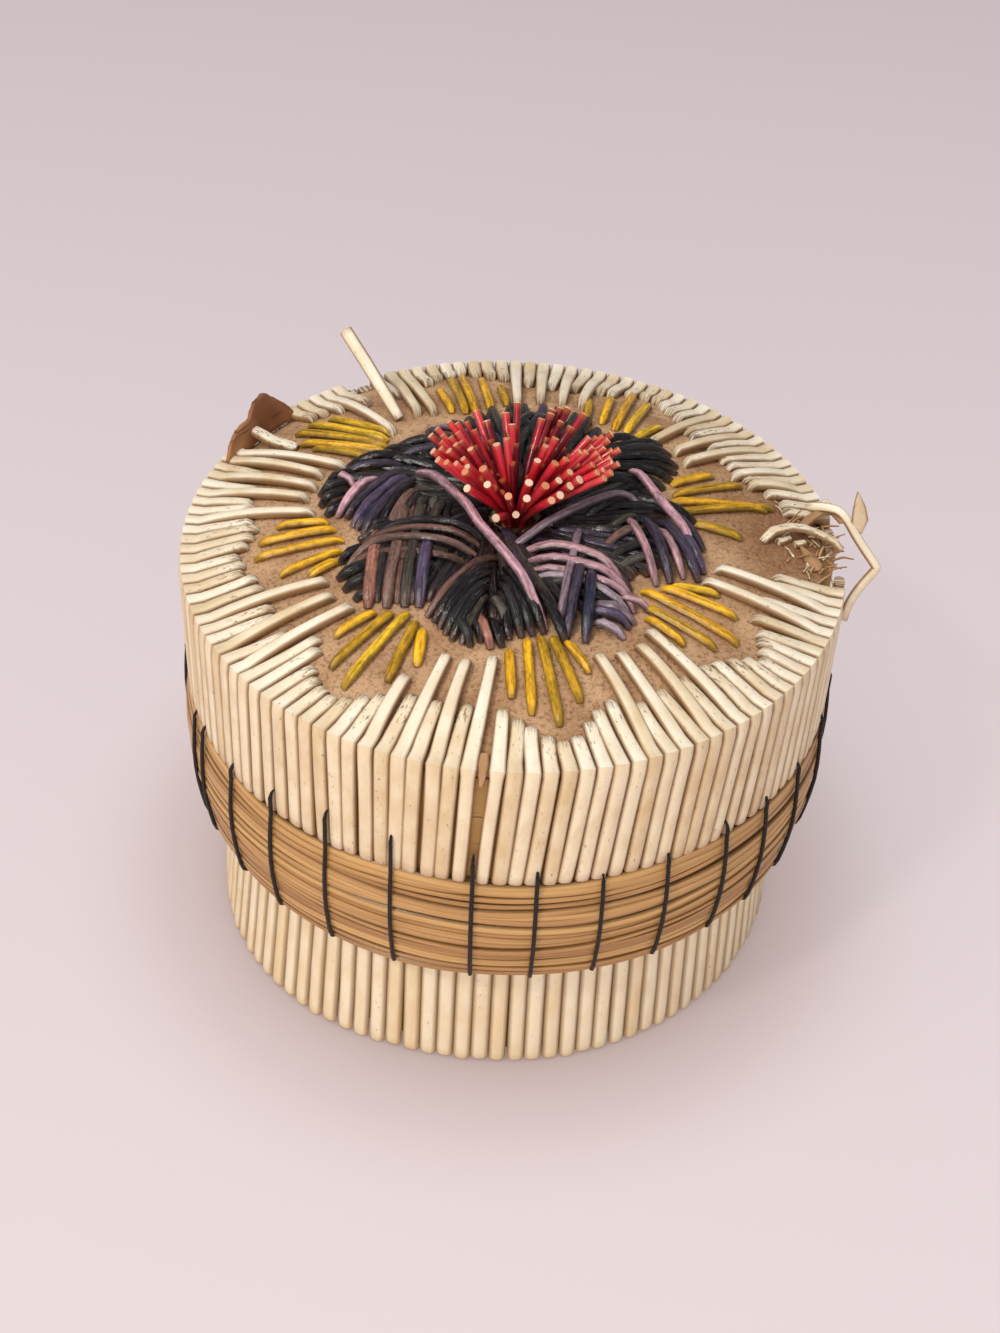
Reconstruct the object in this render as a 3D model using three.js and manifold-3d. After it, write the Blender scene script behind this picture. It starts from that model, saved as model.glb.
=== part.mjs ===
// A small round quill basket: a birch bark box, a bark lid worked with quills, and a sweetgrass band
// stitched round the lid. Millimetres, +Z up, the floor at z = 0 and the box's centre on the Z axis.
import * as THREE from "three";
import { mergeVertices } from "three/addons/utils/BufferGeometryUtils.js";
import Module from "manifold-3d";

const wasm = await Module();
wasm.setup();

// Overall sizes.
const lidRadius = 45; // over the quills on the lid's wall
const topHeight = 60; // over the quills at the lid's edge
const domeRise = 5.4; // how far the lid's top swells above its edge
const bandLow = 22; // lower edge of the lid and of its sweetgrass band
const bandHeight = 18;

// Stock and clearances.
const barkThickness = 1.2;
const liningThickness = 0.8;
const wallQuillThickness = 1.6;
const topQuillThickness = 1.2;
const boxQuillThickness = 1.6;
const tailThickness = 0.5; // quill ends bent flat under the bark
const gap = 0.3; // between pieces that lie against each other
const slideClearance = 0.4; // between the lid's lining and the box
const lap = 2; // how far the box's quills run up under the band
const roundSteps = 40; // facets round every hoop and disc

// The walls, worked inwards from the lid's outside.
const lidHoopOuter = lidRadius - wallQuillThickness - gap;
const lidHoopInner = lidHoopOuter - barkThickness;
const lidLiningOuter = lidHoopInner - gap;
const lidLiningInner = lidLiningOuter - liningThickness;
const boxRadius = lidLiningInner - slideClearance;
const boxHoopOuter = boxRadius - boxQuillThickness - gap;
const boxHoopInner = boxHoopOuter - barkThickness;
const sleeveOuter = boxHoopInner - gap;
const sleeveInner = sleeveOuter - liningThickness;

// The lid's top swells like a cushion: nearly level over the flower, then down to the edge.
const domePower = 3.6;
const domeRingShares = [0.35, 0.6, 0.75, 0.88]; // of a disc's radius, where it has a ring of points

function domeAt(radius) {
  return domeRise * (1 - Math.min(radius / lidHoopOuter, 1) ** domePower);
}

// The levels at the lid's edge, worked down from its top.
const topQuillLow = topHeight - topQuillThickness;
const topBark = topQuillLow - gap;
const topBarkLow = topBark - barkThickness;
const tailHigh = topBarkLow - gap;
const tailLow = tailHigh - tailThickness;
const lidLiningDiscLow = tailLow - gap - liningThickness;
const lidLiningHoopTop = lidLiningDiscLow + domeAt(lidLiningOuter) - gap;
const boxRim = lidLiningDiscLow + domeAt(boxRadius) - gap;
const boxQuillTop = bandLow + lap;

const up = new THREE.Vector3(0, 0, 1);
const fullTurn = 2 * Math.PI;
const radians = THREE.MathUtils.degToRad;

function finish(color, roughness) {
  return new THREE.MeshStandardMaterial({ color, roughness, metalness: 0 });
}

const box = new THREE.Group();
const lid = new THREE.Group();

function addPiece(group, name, geometry, material) {
  const mesh = new THREE.Mesh(geometry, material);
  mesh.name = name;
  group.add(mesh);
  return mesh;
}

// A closed geometry as a solid, and a solid as a geometry.
function solidOf(geometry) {
  const bare = geometry.clone();
  bare.deleteAttribute("normal");
  bare.deleteAttribute("uv");
  const merged = mergeVertices(bare);
  const vertProperties = merged.attributes.position.array;
  const triVerts = new Uint32Array(merged.index.array);
  return new wasm.Manifold(new wasm.Mesh({ numProp: 3, vertProperties, triVerts }));
}

function geometryOf(solid) {
  const { vertProperties, triVerts } = solid.getMesh();
  const geometry = new THREE.BufferGeometry();
  geometry.setAttribute("position", new THREE.BufferAttribute(vertProperties, 3));
  geometry.setIndex(new THREE.BufferAttribute(triVerts, 1));
  return geometry;
}

function fused(geometries) {
  return geometryOf(geometries.map(solidOf).reduce((whole, next) => whole.add(next)));
}

function cut(geometry, tools) {
  return geometryOf(tools.map(solidOf).reduce((left, tool) => left.subtract(tool), solidOf(geometry)));
}

// Turned pieces: a closed outline of [radius, height] points, turned about the Z axis.
function turned(outline) {
  const points = outline.map(([radius, height]) => new THREE.Vector2(radius, height));
  return new THREE.LatheGeometry(points, roundSteps).rotateX(Math.PI / 2);
}

function hoop(inner, outer, low, high) {
  return turned([[inner, low], [outer, low], [outer, high], [inner, high], [inner, low]]);
}

function disc(radius, low, high) {
  return turned([[0, low], [radius, low], [radius, high], [0, high]]);
}

// Lifts a geometry that was laid out on a level lid on to the swell.
function raised(geometry) {
  const { position } = geometry.attributes;
  for (let k = 0; k < position.count; k += 1) {
    const radius = Math.hypot(position.getX(k), position.getY(k));
    position.setZ(k, position.getZ(k) + domeAt(radius));
  }
  return geometry;
}

function domedDisc(radius, low, high) {
  const rings = [0, ...domeRingShares.map((share) => share * radius), radius];
  const under = rings.map((ring) => [ring, low]);
  const over = rings.map((ring) => [ring, high]).reverse();
  return raised(turned([...under, ...over]));
}

function polar(radius, angle, height) {
  return new THREE.Vector3(radius * Math.cos(angle), radius * Math.sin(angle), height);
}

// A straight tapering quill from start to end.
function straightQuill(start, end, startRadius, endRadius, sides, steps) {
  const along = end.clone().sub(start);
  const length = along.length();
  along.normalize();
  const across = new THREE.Vector3().crossVectors(along, up).normalize();
  const outward = new THREE.Vector3().crossVectors(across, along);
  const place = new THREE.Matrix4().makeBasis(across, along, outward).setPosition(start);
  const quill = new THREE.CylinderGeometry(endRadius, startRadius, length, sides, steps);
  return quill.translate(0, length / 2, 0).applyMatrix4(place);
}

const threadSides = 3;
const yellowSides = 4;
const lobeSides = 4;
const looseSides = 5;

// A bent quill of even thickness along a curve through the given points.
function bentQuill(points, radius, steps, sides) {
  const corner = (k) => radians(180 / sides) + (fullTurn * k) / sides;
  const section = Array.from({ length: sides }, (_, k) => {
    return new THREE.Vector2(radius * Math.cos(corner(k)), radius * Math.sin(corner(k)));
  });
  const extrudePath = new THREE.CatmullRomCurve3(points);
  return new THREE.ExtrudeGeometry(new THREE.Shape(section), { steps, extrudePath });
}

const quillGroups = 8; // the quills round a wall are fused in groups
const valleyShare = 0.3; // of a quill's thickness, left between two quills
const shoulderShare = 0.24; // of a quill's width, for each rounded side

// A row of upright quills side by side round part of a wall.
function quillWall(inner, outer, low, high, firstAngle, pitch, count) {
  const valley = inner + (outer - inner) * valleyShare;
  const outline = [];
  for (let k = 0; k < count; k += 1) {
    const start = firstAngle + k * pitch;
    outline.push(polar(valley, start, 0));
    outline.push(polar(outer, start + pitch * shoulderShare, 0));
    outline.push(polar(outer, start + pitch * (1 - shoulderShare), 0));
  }
  const lastAngle = firstAngle + count * pitch;
  outline.push(polar(valley, lastAngle, 0));
  const innerSteps = Math.ceil(count / 2);
  for (let k = 0; k <= innerSteps; k += 1) {
    outline.push(polar(inner, lastAngle - (k * count * pitch) / innerSteps, 0));
  }
  const shape = new THREE.Shape(outline.map(({ x, y }) => new THREE.Vector2(x, y)));
  const wall = new THREE.ExtrudeGeometry(shape, { depth: high - low, bevelEnabled: false });
  return wall.translate(0, 0, low);
}

// The angle that leaves one gap between two groups of quills at a radius.
function gapAngle(radius) {
  return gap / radius;
}

const bark = finish("#8f6a4c", 0.9);
const paleBark = finish("#b88a5e", 0.8);
const boxQuillFinish = finish("#e6d3a8", 0.45);
const edgeQuillFinish = finish("#efe3c8", 0.45);
const sweetgrass = finish("#a97f4f", 0.6);
const thread = finish("#1f1a1a", 0.7);
const yellowFinish = finish("#e2b21c", 0.4);
const redFinish = finish("#b3202e", 0.4);
const pinkFinish = finish("#d9a5b5", 0.4);
const brownFinish = finish("#5e4a42", 0.45);

// The box: a bark hoop with a lining sleeve, a neck strip that the lid slides over, and a floor.
function makeBox() {
  addPiece(box, "box_side_hoop", hoop(boxHoopInner, boxHoopOuter, 0, boxRim), bark);
  addPiece(box, "box_bottom_disc", disc(sleeveOuter, 0, barkThickness), bark);
  const floorTop = barkThickness + gap;
  addPiece(box, "box_lining_sleeve", hoop(sleeveInner, sleeveOuter, floorTop, boxRim), paleBark);
  const liningDisc = disc(sleeveInner - gap, floorTop, floorTop + liningThickness);
  addPiece(box, "box_bottom_lining", liningDisc, paleBark);
  const neck = hoop(boxHoopOuter + gap, boxRadius, boxQuillTop + gap, boxRim);
  addPiece(box, "box_neck_strip", neck, paleBark);
}

const boxQuillsPerGroup = 13;

function makeBoxQuills() {
  const groupAngle = fullTurn / quillGroups;
  const pitch = (groupAngle - gapAngle(boxRadius)) / boxQuillsPerGroup;
  for (let k = 0; k < quillGroups; k += 1) {
    const wall = quillWall(boxHoopOuter + gap, boxRadius, gap, boxQuillTop, 0, pitch, boxQuillsPerGroup);
    const mesh = addPiece(box, `box_quills_${k + 1}`, wall, boxQuillFinish);
    mesh.rotation.z = k * groupAngle;
  }
}

// The flower's eight yellow fans, by the angle of each fan's middle.
const fanAngles = [15.6, 62.8, 102.4, 142.7, 193.7, 237.3, 279.6, 323.9].map(radians);
const flowerRadius = 25.5; // reach of the dark lobes
const yellowInnerShare = 0.94; // of the flower's radius, where a fan's quills come out of the bark
const yellowInnerRadius = flowerRadius * yellowInnerShare;
const fanTipShare = 0.87; // of the lid's radius: the edge quills end there past a fan's tip
const fanTipMargin = 1.5;
const yellowLength = lidRadius * fanTipShare - fanTipMargin - yellowInnerRadius;
const yellowWidth = 1.5;
const yellowSpacing = 1.8;
const yellowSplay = radians(8); // from one quill of a fan to the next
const yellowLengthShares = [0.6, 0.86, 1, 0.86, 0.6];
const yellowSteps = 2;
const rootDepth = 1.2; // the bar of bent ends that passes through the bark

function fanRoot(low, high, margin) {
  const across = (yellowLengthShares.length - 1) * yellowSpacing + yellowWidth + 2 * margin;
  const root = new THREE.BoxGeometry(rootDepth + 2 * margin, across, high - low);
  return root.translate(yellowInnerRadius, 0, (low + high) / 2);
}

function makeYellowFans() {
  const level = topQuillLow + yellowWidth / 2;
  const middle = (yellowLengthShares.length - 1) / 2;
  const quills = yellowLengthShares.map((share, k) => {
    const turn = (k - middle) * yellowSplay;
    const reach = share * yellowLength;
    const start = new THREE.Vector3(yellowInnerRadius, (k - middle) * yellowSpacing, level);
    const step = new THREE.Vector3(reach * Math.cos(turn), reach * Math.sin(turn), 0);
    const end = start.clone().add(step);
    return straightQuill(start, end, yellowWidth / 2, yellowWidth / 4, yellowSides, yellowSteps);
  });
  const tails = fanRoot(tailLow, tailHigh, rootDepth);
  const fan = fused([...quills, fanRoot(tailLow, level, 0), tails].map(raised));
  fanAngles.forEach((angle, k) => {
    const mesh = addPiece(lid, `yellow_fan_${k + 1}`, fan, yellowFinish);
    mesh.rotation.z = angle;
  });
}

// The white quills fold over the lid's edge: upright on its wall, then up the swell of its top.
const edgeQuillsPerGroup = 16;
const edgeQuillCount = quillGroups * edgeQuillsPerGroup;
const topQuillShare = 0.96; // of the room that each has at the fold
const crestShare = 0.55;
const leastTaperShare = 0.72;
const flowerMargin = 2.5;
const longQuillInner = flowerRadius + flowerMargin; // where the long quills between two fans end
const shortQuillShare = 0.75; // of the lid's radius, for the shorter quills between those
const fanSideShare = 0.68; // and for the quills at a fan's sides
const fanHalfAngle = radians(14);
const scallopPower = 1.7; // how square the scallop round a fan is
const foldRise = 0.15; // how far a fold stands proud of its quill's top stretch
const topQuillSteps = 2;
const tornTops = [{ first: -4, count: 10 }, { first: 51, count: 4 }]; // folds that have broken away
const tornWalls = [{ first: -2, count: 6 }, { first: 95, count: 1 }]; // quills missing from the wall

function isIn(runs, index) {
  return runs.some(({ first, count }) => (index - first + edgeQuillCount) % edgeQuillCount < count);
}

function angleBetween(first, second) {
  const turn = Math.abs(first - second) % fullTurn;
  return Math.min(turn, fullTurn - turn);
}

function innerEndOf(index, angle) {
  const away = Math.min(...fanAngles.map((fan) => angleBetween(angle, fan)));
  if (away > fanHalfAngle) {
    return index % 2 ? lidRadius * shortQuillShare : longQuillInner;
  }
  const scallopShare = (away / fanHalfAngle) ** scallopPower;
  return lidRadius * (fanTipShare - (fanTipShare - fanSideShare) * scallopShare);
}

// Scales a geometry across itself, from startShare at z = 0 to its full width at the other end.
function tapered(geometry, length, startShare) {
  const { position } = geometry.attributes;
  for (let k = 0; k < position.count; k += 1) {
    const share = startShare + (1 - startShare) * (position.getZ(k) / length);
    position.setX(k, position.getX(k) * share);
  }
  return geometry;
}

function topQuill(angle, innerEnd, pitch) {
  const half = (lidRadius * pitch * topQuillShare) / 2;
  const crest = topQuillThickness - foldRise;
  const corners = [[-half, 0], [half, 0], [half * crestShare, crest], [-half * crestShare, crest]];
  const section = new THREE.Shape(corners.map(([x, y]) => new THREE.Vector2(x, y)));
  const depth = lidHoopOuter + gap + (wallQuillThickness * valleyShare) / 2 - innerEnd;
  const taperShare = Math.max(innerEnd / lidRadius, leastTaperShare);
  const steps = topQuillSteps;
  const straight = new THREE.ExtrudeGeometry(section, { depth, steps, bevelEnabled: false });
  const quill = tapered(straight, depth, taperShare);
  const radial = polar(1, angle, 0);
  const across = new THREE.Vector3().crossVectors(up, radial);
  const place = new THREE.Matrix4().makeBasis(across, up, radial);
  place.setPosition(polar(innerEnd, angle, topQuillLow));
  return raised(quill.applyMatrix4(place));
}

function makeEdgeQuills() {
  const groupAngle = fullTurn / quillGroups;
  const pitch = (groupAngle - gapAngle(lidHoopOuter)) / edgeQuillsPerGroup;
  const low = bandLow + bandHeight + gap;
  for (let group = 0; group < quillGroups; group += 1) {
    const indices = Array.from({ length: edgeQuillsPerGroup }, (_, k) => group * edgeQuillsPerGroup + k);
    const onWall = indices.filter((index) => !isIn(tornWalls, index));
    const onTop = onWall.filter((index) => !isIn(tornTops, index));
    const startOf = (index) => group * groupAngle + (index - group * edgeQuillsPerGroup) * pitch;
    const inner = lidHoopOuter + gap;
    const wall = quillWall(inner, lidRadius, low, topHeight, startOf(onWall[0]), pitch, onWall.length);
    const tops = onTop.map((index) => {
      const angle = startOf(index) + pitch / 2;
      return topQuill(angle, innerEndOf(index, angle), pitch);
    });
    addPiece(lid, `lid_edge_quills_${group + 1}`, fused([wall, ...tops]), edgeQuillFinish);
  }
}

// The tuft in the middle: red quills bound at the foot, splayed and clipped.
const tuftStemRadius = 2.6;
const tuftTailRadius = 5.2; // over the bent ends under the bark
const tuftFoot = 1.5; // height of the binding above the bark
const tuftHeight = 9.8; // from the binding to the middle tips
const tuftTipRadius = 12.5; // over the outer tips
const tipDropShare = 0.18; // of the height, that the outer tips stand lower by
const tuftQuills = 72;
const tuftQuillWidth = 1;
const tuftSteps = 1;
const goldenTurn = radians(137.508);

function tuftStrand(index) {
  const spreadShare = Math.sqrt((index + 0.5) / tuftQuills);
  const angle = index * goldenTurn;
  const height = tuftHeight * (1 - tipDropShare * spreadShare ** 2);
  const foot = polar((tuftStemRadius - tuftQuillWidth / 2) * spreadShare, angle, topBark + tuftFoot);
  const tip = polar(tuftTipRadius * spreadShare, angle, topBark + tuftFoot + height);
  foot.z -= tuftQuillWidth / 2;
  return straightQuill(foot, tip, tuftQuillWidth / 4, tuftQuillWidth / 2, threadSides, tuftSteps);
}

function makeTuft() {
  const stem = disc(tuftStemRadius, tailLow, topBark + tuftFoot);
  const tails = disc(tuftTailRadius, tailLow, tailHigh);
  const strands = Array.from({ length: tuftQuills }, (_, k) => tuftStrand(k));
  addPiece(lid, "red_tuft", raised(fused([stem, tails, ...strands])), redFinish);
}

// The lid: a swelling disc and a hoop of bark, each with a lining.
function makeLid() {
  const overTop = topHeight + domeRise;
  const slots = fanAngles.map((angle) => fanRoot(tailLow, overTop, gap).rotateZ(angle));
  const tuftHole = disc(tuftStemRadius + gap, tailLow, overTop);
  const top = cut(domedDisc(lidHoopOuter, topBarkLow, topBark), [...slots, tuftHole]);
  addPiece(lid, "lid_top_disc", top, bark);
  addPiece(lid, "lid_side_hoop", hoop(lidHoopInner, lidHoopOuter, bandLow, tailHigh), bark);
  const liningDisc = domedDisc(lidLiningOuter, lidLiningDiscLow, tailLow - gap);
  addPiece(lid, "lid_lining_disc", liningDisc, paleBark);
  const liningHoop = hoop(lidLiningInner, lidLiningOuter, bandLow, lidLiningHoopTop);
  addPiece(lid, "lid_lining_hoop", liningHoop, paleBark);
}

// The sweetgrass band: a bundle of stems laid round the foot of the lid, swelling at mid height.
const bandTuck = 0.8; // how far its lower edge draws in
const bandSwell = 1.2;
const bandRows = 6; // rows of stems
const rowDepth = 0.35; // the groove between two rows

function bandRadiusAt(share) {
  return lidRadius - bandTuck * (1 - share) ** 2 + bandSwell * Math.sin(Math.PI * share);
}

function makeBand() {
  const inner = lidHoopOuter + gap;
  const heightAt = (share) => bandLow + bandHeight * share;
  const outline = [[inner, bandLow]];
  for (let row = 0; row <= bandRows; row += 1) {
    const edge = row / bandRows;
    const middle = (row + 0.5) / bandRows;
    outline.push([bandRadiusAt(edge) - rowDepth, heightAt(edge)]);
    if (row < bandRows) {
      outline.push([bandRadiusAt(middle), heightAt(middle)]);
    }
  }
  outline.push([inner, bandLow + bandHeight]);
  outline.push([inner, bandLow]);
  addPiece(lid, "sweetgrass_band", turned(outline), sweetgrass);
}

// The black thread: stitches over the band, joined by the run that goes on under its lower edge.
const threadWidth = 0.75;
const stitchCount = 31;
const stitchRise = 3.5; // how far a stitch reaches up between the lid's quills
const stitchShares = [1, 0.7, 0.35, 0.08]; // of the band's height, down its face
const stitchSteps = 6;

function stitchPath(angle) {
  const offset = gap + threadWidth / 2;
  const points = [polar(lidRadius + offset, angle, bandLow + bandHeight + stitchRise)];
  for (const share of stitchShares) {
    points.push(polar(bandRadiusAt(share) + offset, angle, bandLow + bandHeight * share));
  }
  points.push(polar(bandRadiusAt(0) + threadWidth / 2, angle, bandLow - offset));
  points.push(polar(lidHoopOuter + gap + threadWidth / 2, angle, bandLow - offset));
  return points;
}

function makeStitching() {
  const high = bandLow - gap;
  const inner = lidHoopOuter + gap;
  const run = hoop(inner, inner + threadWidth, high - threadWidth, high);
  const stitches = Array.from({ length: stitchCount }, (_, k) => {
    return bentQuill(stitchPath((fullTurn * k) / stitchCount), threadWidth / 2, stitchSteps, threadSides);
  });
  addPiece(lid, "band_stitching", fused([run, ...stitches]), thread);
}

// The flower's dark lobes: five quills each, side by side, arched over the bark.
const lobeQuillWidth = 1.8;
const lobeSpacing = 1.7;
const lobeRise = 0.6;
const lobeOuterShares = [0.81, 0.95, 1, 0.95, 0.81]; // of the flower's radius
const lobeInnerRadius = 5.6;
const lobeHalfAngle = radians(20);
const lobeMiddleShare = 0.7; // where along its reach a lobe is highest
const lobeInnerRiseShare = 0.8;
const lobeSteps = 3;

function lobeAngle(k) {
  const next = fanAngles[(k + 1) % fanAngles.length];
  const turn = (next - fanAngles[k] + fullTurn) % fullTurn;
  return fanAngles[k] + turn / 2;
}

function lobeQuill(k) {
  const offset = (k - (lobeOuterShares.length - 1) / 2) * lobeSpacing;
  const outer = flowerRadius * lobeOuterShares[k];
  const side = Math.abs(offset) + lobeQuillWidth / 2 + gap / 2;
  const inner = Math.max(lobeInnerRadius, side / Math.tan(lobeHalfAngle));
  const foot = topBark + gap + lobeQuillWidth / 2;
  const middle = inner + (outer - inner) * lobeMiddleShare;
  const points = [
    new THREE.Vector3(outer, offset, foot),
    new THREE.Vector3(middle, offset, foot + lobeRise),
    new THREE.Vector3(inner, offset, foot + lobeRise * lobeInnerRiseShare),
  ];
  return bentQuill(points, lobeQuillWidth / Math.SQRT2, lobeSteps, lobeSides);
}

function makeLobes() {
  const lobe = fused(lobeOuterShares.map((_, k) => raised(lobeQuill(k))));
  fanAngles.forEach((_, k) => {
    const mesh = addPiece(lid, `flower_lobe_${k + 1}`, lobe, brownFinish);
    mesh.rotation.z = lobeAngle(k);
  });
}

// Long quills that cross over the lobes. A route is a list of [share of the flower's radius, degrees,
// share of the way up from the bark to the level it crosses the lobes at].
const longQuillWidth = 1.2;
const longQuillSteps = 8;
const longQuillLow = topBark + gap + longQuillWidth / 2;
const lobeTop = topBark + gap + lobeQuillWidth + lobeRise;
const crossingLevel = lobeTop + gap + longQuillWidth / 2;
const upperLevel = crossingLevel + longQuillWidth + gap;
const arcRadiusShares = [0.45, 0.66, 0.81]; // of the flower's radius, along an arc
const arcRiseShares = [1, 0.95, 0];
const arcBackShare = 0.125; // of its first turn, that an arc's shoulder turns back by
const leftRootShares = [0.29, 250, 1];
const rightRootShares = [0.29, 290, 1];
const leftArcTurnDegrees = -32;
const rightArcTurnDegrees = 20;
const leftArcEndDegrees = [189.2, 192.9, 196.6];
const rightArcEndDegrees = [319.8, 324, 328.2];
const mauveRouteShares = [rightRootShares, [0.45, 350, 1], [0.68, 13, 1], [0.8, 15.6, 0]];
const pinkRouteShares = [[0.81, 143, 0], [0.6, 151, 1], [0.38, 234, 1], [0.6, 272, 1], [0.8, 279.6, 0]];

function longQuill(routeShares, level) {
  const points = routeShares.map(([radiusShare, degrees, riseShare]) => {
    const height = longQuillLow + (level - longQuillLow) * riseShare;
    return polar(flowerRadius * radiusShare, radians(degrees), height);
  });
  return raised(bentQuill(points, longQuillWidth / 2, longQuillSteps, looseSides));
}

function arcQuill(root, middleTurn, endDegrees) {
  const turns = [root[1] + middleTurn, endDegrees - middleTurn * arcBackShare, endDegrees];
  const route = turns.map((degrees, k) => [arcRadiusShares[k], degrees, arcRiseShares[k]]);
  return longQuill([root, ...route], crossingLevel);
}

function makeLongQuills() {
  const leftArcs = leftArcEndDegrees.map((end) => arcQuill(leftRootShares, leftArcTurnDegrees, end));
  const rightArcs = rightArcEndDegrees.map((end) => arcQuill(rightRootShares, rightArcTurnDegrees, end));
  addPiece(lid, "brown_arc_quills", fused(leftArcs), brownFinish);
  const mauve = longQuill(mauveRouteShares, crossingLevel);
  addPiece(lid, "pink_arc_quills", fused([...rightArcs, mauve]), pinkFinish);
  addPiece(lid, "long_pink_quill", longQuill(pinkRouteShares, upperLevel), pinkFinish);
}

// What age has worked loose: a quill sprung up from the lid, one broken away at the fold that hangs
// outside the wall, and a flake of bark that stands up at the lid's edge. Their routes are lists of
// [share of the lid's radius, degrees, share of a rise].
const sprungRise = 9.3;
const sprungRouteShares = [[0.567, 130, 0], [0.77, 127.5, 0.45], [0.945, 126.8, 1]];
const hangingRise = 3.4;
const hangingFall = 15;
const hangingRouteShares = [
  [0.92, 12, 0],
  [1.04, 8, 1],
  [1.08, 5, -0.1],
  [1.13, 4.5, -0.3],
  [1.1, 2, -0.6],
  [1.06, 1, -1],
];
const looseQuillWidth = 1.3;
const flapWidth = 7.2;
const flapRise = 6;
const flapThickness = 0.6;
const flapAngle = radians(149);
const flapOutlineShares = [[-1, 0], [1, 0], [0.8, 0.35], [-0.35, 1], [-0.9, 0.5]];

function looseRoute(routeShares, low, rise, fall) {
  return routeShares.map(([radiusShare, degrees, share]) => {
    const height = low + share * (share > 0 ? rise : fall);
    return polar(lidRadius * radiusShare, radians(degrees), height);
  });
}

function makeFlap() {
  const points = flapOutlineShares.map(([across, high]) => {
    return new THREE.Vector2((across * flapWidth) / 2, high * flapRise);
  });
  const depth = flapThickness;
  const flap = new THREE.ExtrudeGeometry(new THREE.Shape(points), { depth, bevelEnabled: false });
  flap.rotateX(Math.PI / 2).rotateZ(-Math.PI / 2);
  return raised(flap.translate(lidHoopOuter - barkThickness, 0, topBark + gap).rotateZ(flapAngle));
}

function makeLooseQuills() {
  const radius = looseQuillWidth / 2;
  const sprung = looseRoute(sprungRouteShares, topHeight + gap + radius, sprungRise, 0);
  const sprungQuill = raised(bentQuill(sprung, radius, longQuillSteps, looseSides));
  addPiece(lid, "sprung_quill", sprungQuill, edgeQuillFinish);
  const hanging = looseRoute(hangingRouteShares, topBark + gap + radius, hangingRise, hangingFall);
  const hangingQuill = raised(bentQuill(hanging, radius, longQuillSteps, looseSides));
  addPiece(lid, "hanging_quill", hangingQuill, edgeQuillFinish);
  addPiece(lid, "torn_bark_flap", makeFlap(), bark);
}

makeBox();
makeBoxQuills();
makeLid();
makeEdgeQuills();
makeYellowFans();
makeTuft();
makeBand();
makeStitching();
makeLobes();
makeLongQuills();
makeLooseQuills();

const basket = new THREE.Group();
basket.add(box, lid);

export default basket;
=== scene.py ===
# A small round quill basket: a bark box, a lid worked with porcupine quills, and a sweetgrass band
# stitched round the lid. Sizes and places are in millimetres and degrees; meshes are made in metres.
import math
import random

import bmesh
import bpy
from mathutils import Matrix, Vector, noise


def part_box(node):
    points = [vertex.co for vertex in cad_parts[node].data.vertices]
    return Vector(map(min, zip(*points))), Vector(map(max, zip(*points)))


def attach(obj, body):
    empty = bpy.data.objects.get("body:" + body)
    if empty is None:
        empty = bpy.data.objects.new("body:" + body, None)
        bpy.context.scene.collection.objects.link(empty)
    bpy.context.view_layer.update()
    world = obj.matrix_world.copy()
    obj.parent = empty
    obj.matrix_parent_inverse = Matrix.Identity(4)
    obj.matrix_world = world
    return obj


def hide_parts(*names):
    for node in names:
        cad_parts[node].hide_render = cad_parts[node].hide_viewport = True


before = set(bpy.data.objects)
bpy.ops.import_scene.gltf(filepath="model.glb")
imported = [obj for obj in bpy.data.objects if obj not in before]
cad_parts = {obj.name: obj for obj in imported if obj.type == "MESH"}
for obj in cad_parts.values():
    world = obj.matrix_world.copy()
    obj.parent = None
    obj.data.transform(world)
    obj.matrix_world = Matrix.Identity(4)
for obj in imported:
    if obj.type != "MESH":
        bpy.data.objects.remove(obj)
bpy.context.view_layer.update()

mm = 0.001
up = Vector((0, 0, 1))


def linear(hexText):
    channels = [int(hexText[k:k + 2], 16) / 255 for k in (1, 3, 5)]
    return [c / 12.92 if c <= 0.04045 else ((c + 0.055) / 1.055) ** 2.4 for c in channels] + [1.0]


def addNode(tree, kind, inputs=None, **settings):
    made = tree.nodes.new(kind)
    for name, value in settings.items():
        setattr(made, name, value)
    for key, value in (inputs or {}).items():
        if isinstance(value, bpy.types.NodeSocket):
            tree.links.new(value, made.inputs[key])
        else:
            made.inputs[key].default_value = value
    return made


def polar(radius, degrees, height):
    angle = math.radians(degrees)
    return Vector((radius * math.cos(angle), radius * math.sin(angle), height))


def eitherWay(picks, amount):
    return picks.uniform(-amount, amount)


def directionOf(spot):
    return math.degrees(math.atan2(spot.y, spot.x))


def nearest(degrees, other):
    # the same direction, counted so that it is within half a turn of the other
    return other + (degrees - other + 180) % 360 - 180


def apart(first, second):
    return abs((first - second + 180) % 360 - 180)


def lowOf(node):
    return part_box(node)[0] / mm


def highOf(node):
    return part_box(node)[1] / mm


def blendOf(table, key):
    # straight lines between a table's (key, value) rows
    for (keyA, valueA), (keyB, valueB) in zip(table, table[1:]):
        if key <= keyB:
            share = (key - keyA) / (keyB - keyA)
            return valueA + (valueB - valueA) * max(0, share)
    return table[-1][1]


# The lid's top swells like a cushion above its edge.
barkThick = 1.2
clearance = 0.3  # between pieces that lie against each other
hoopOuter = highOf("lid_side_hoop").x
edgeBark = lowOf("lid_top_disc").z + barkThick  # the bark's face at the lid's edge
swell = {"rise": highOf("lid_top_disc").z - edgeBark, "power": 3.6}


def barkAt(radius):
    return edgeBark + swell["rise"] * (1 - min(radius / hoopOuter, 1) ** swell["power"])


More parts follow.
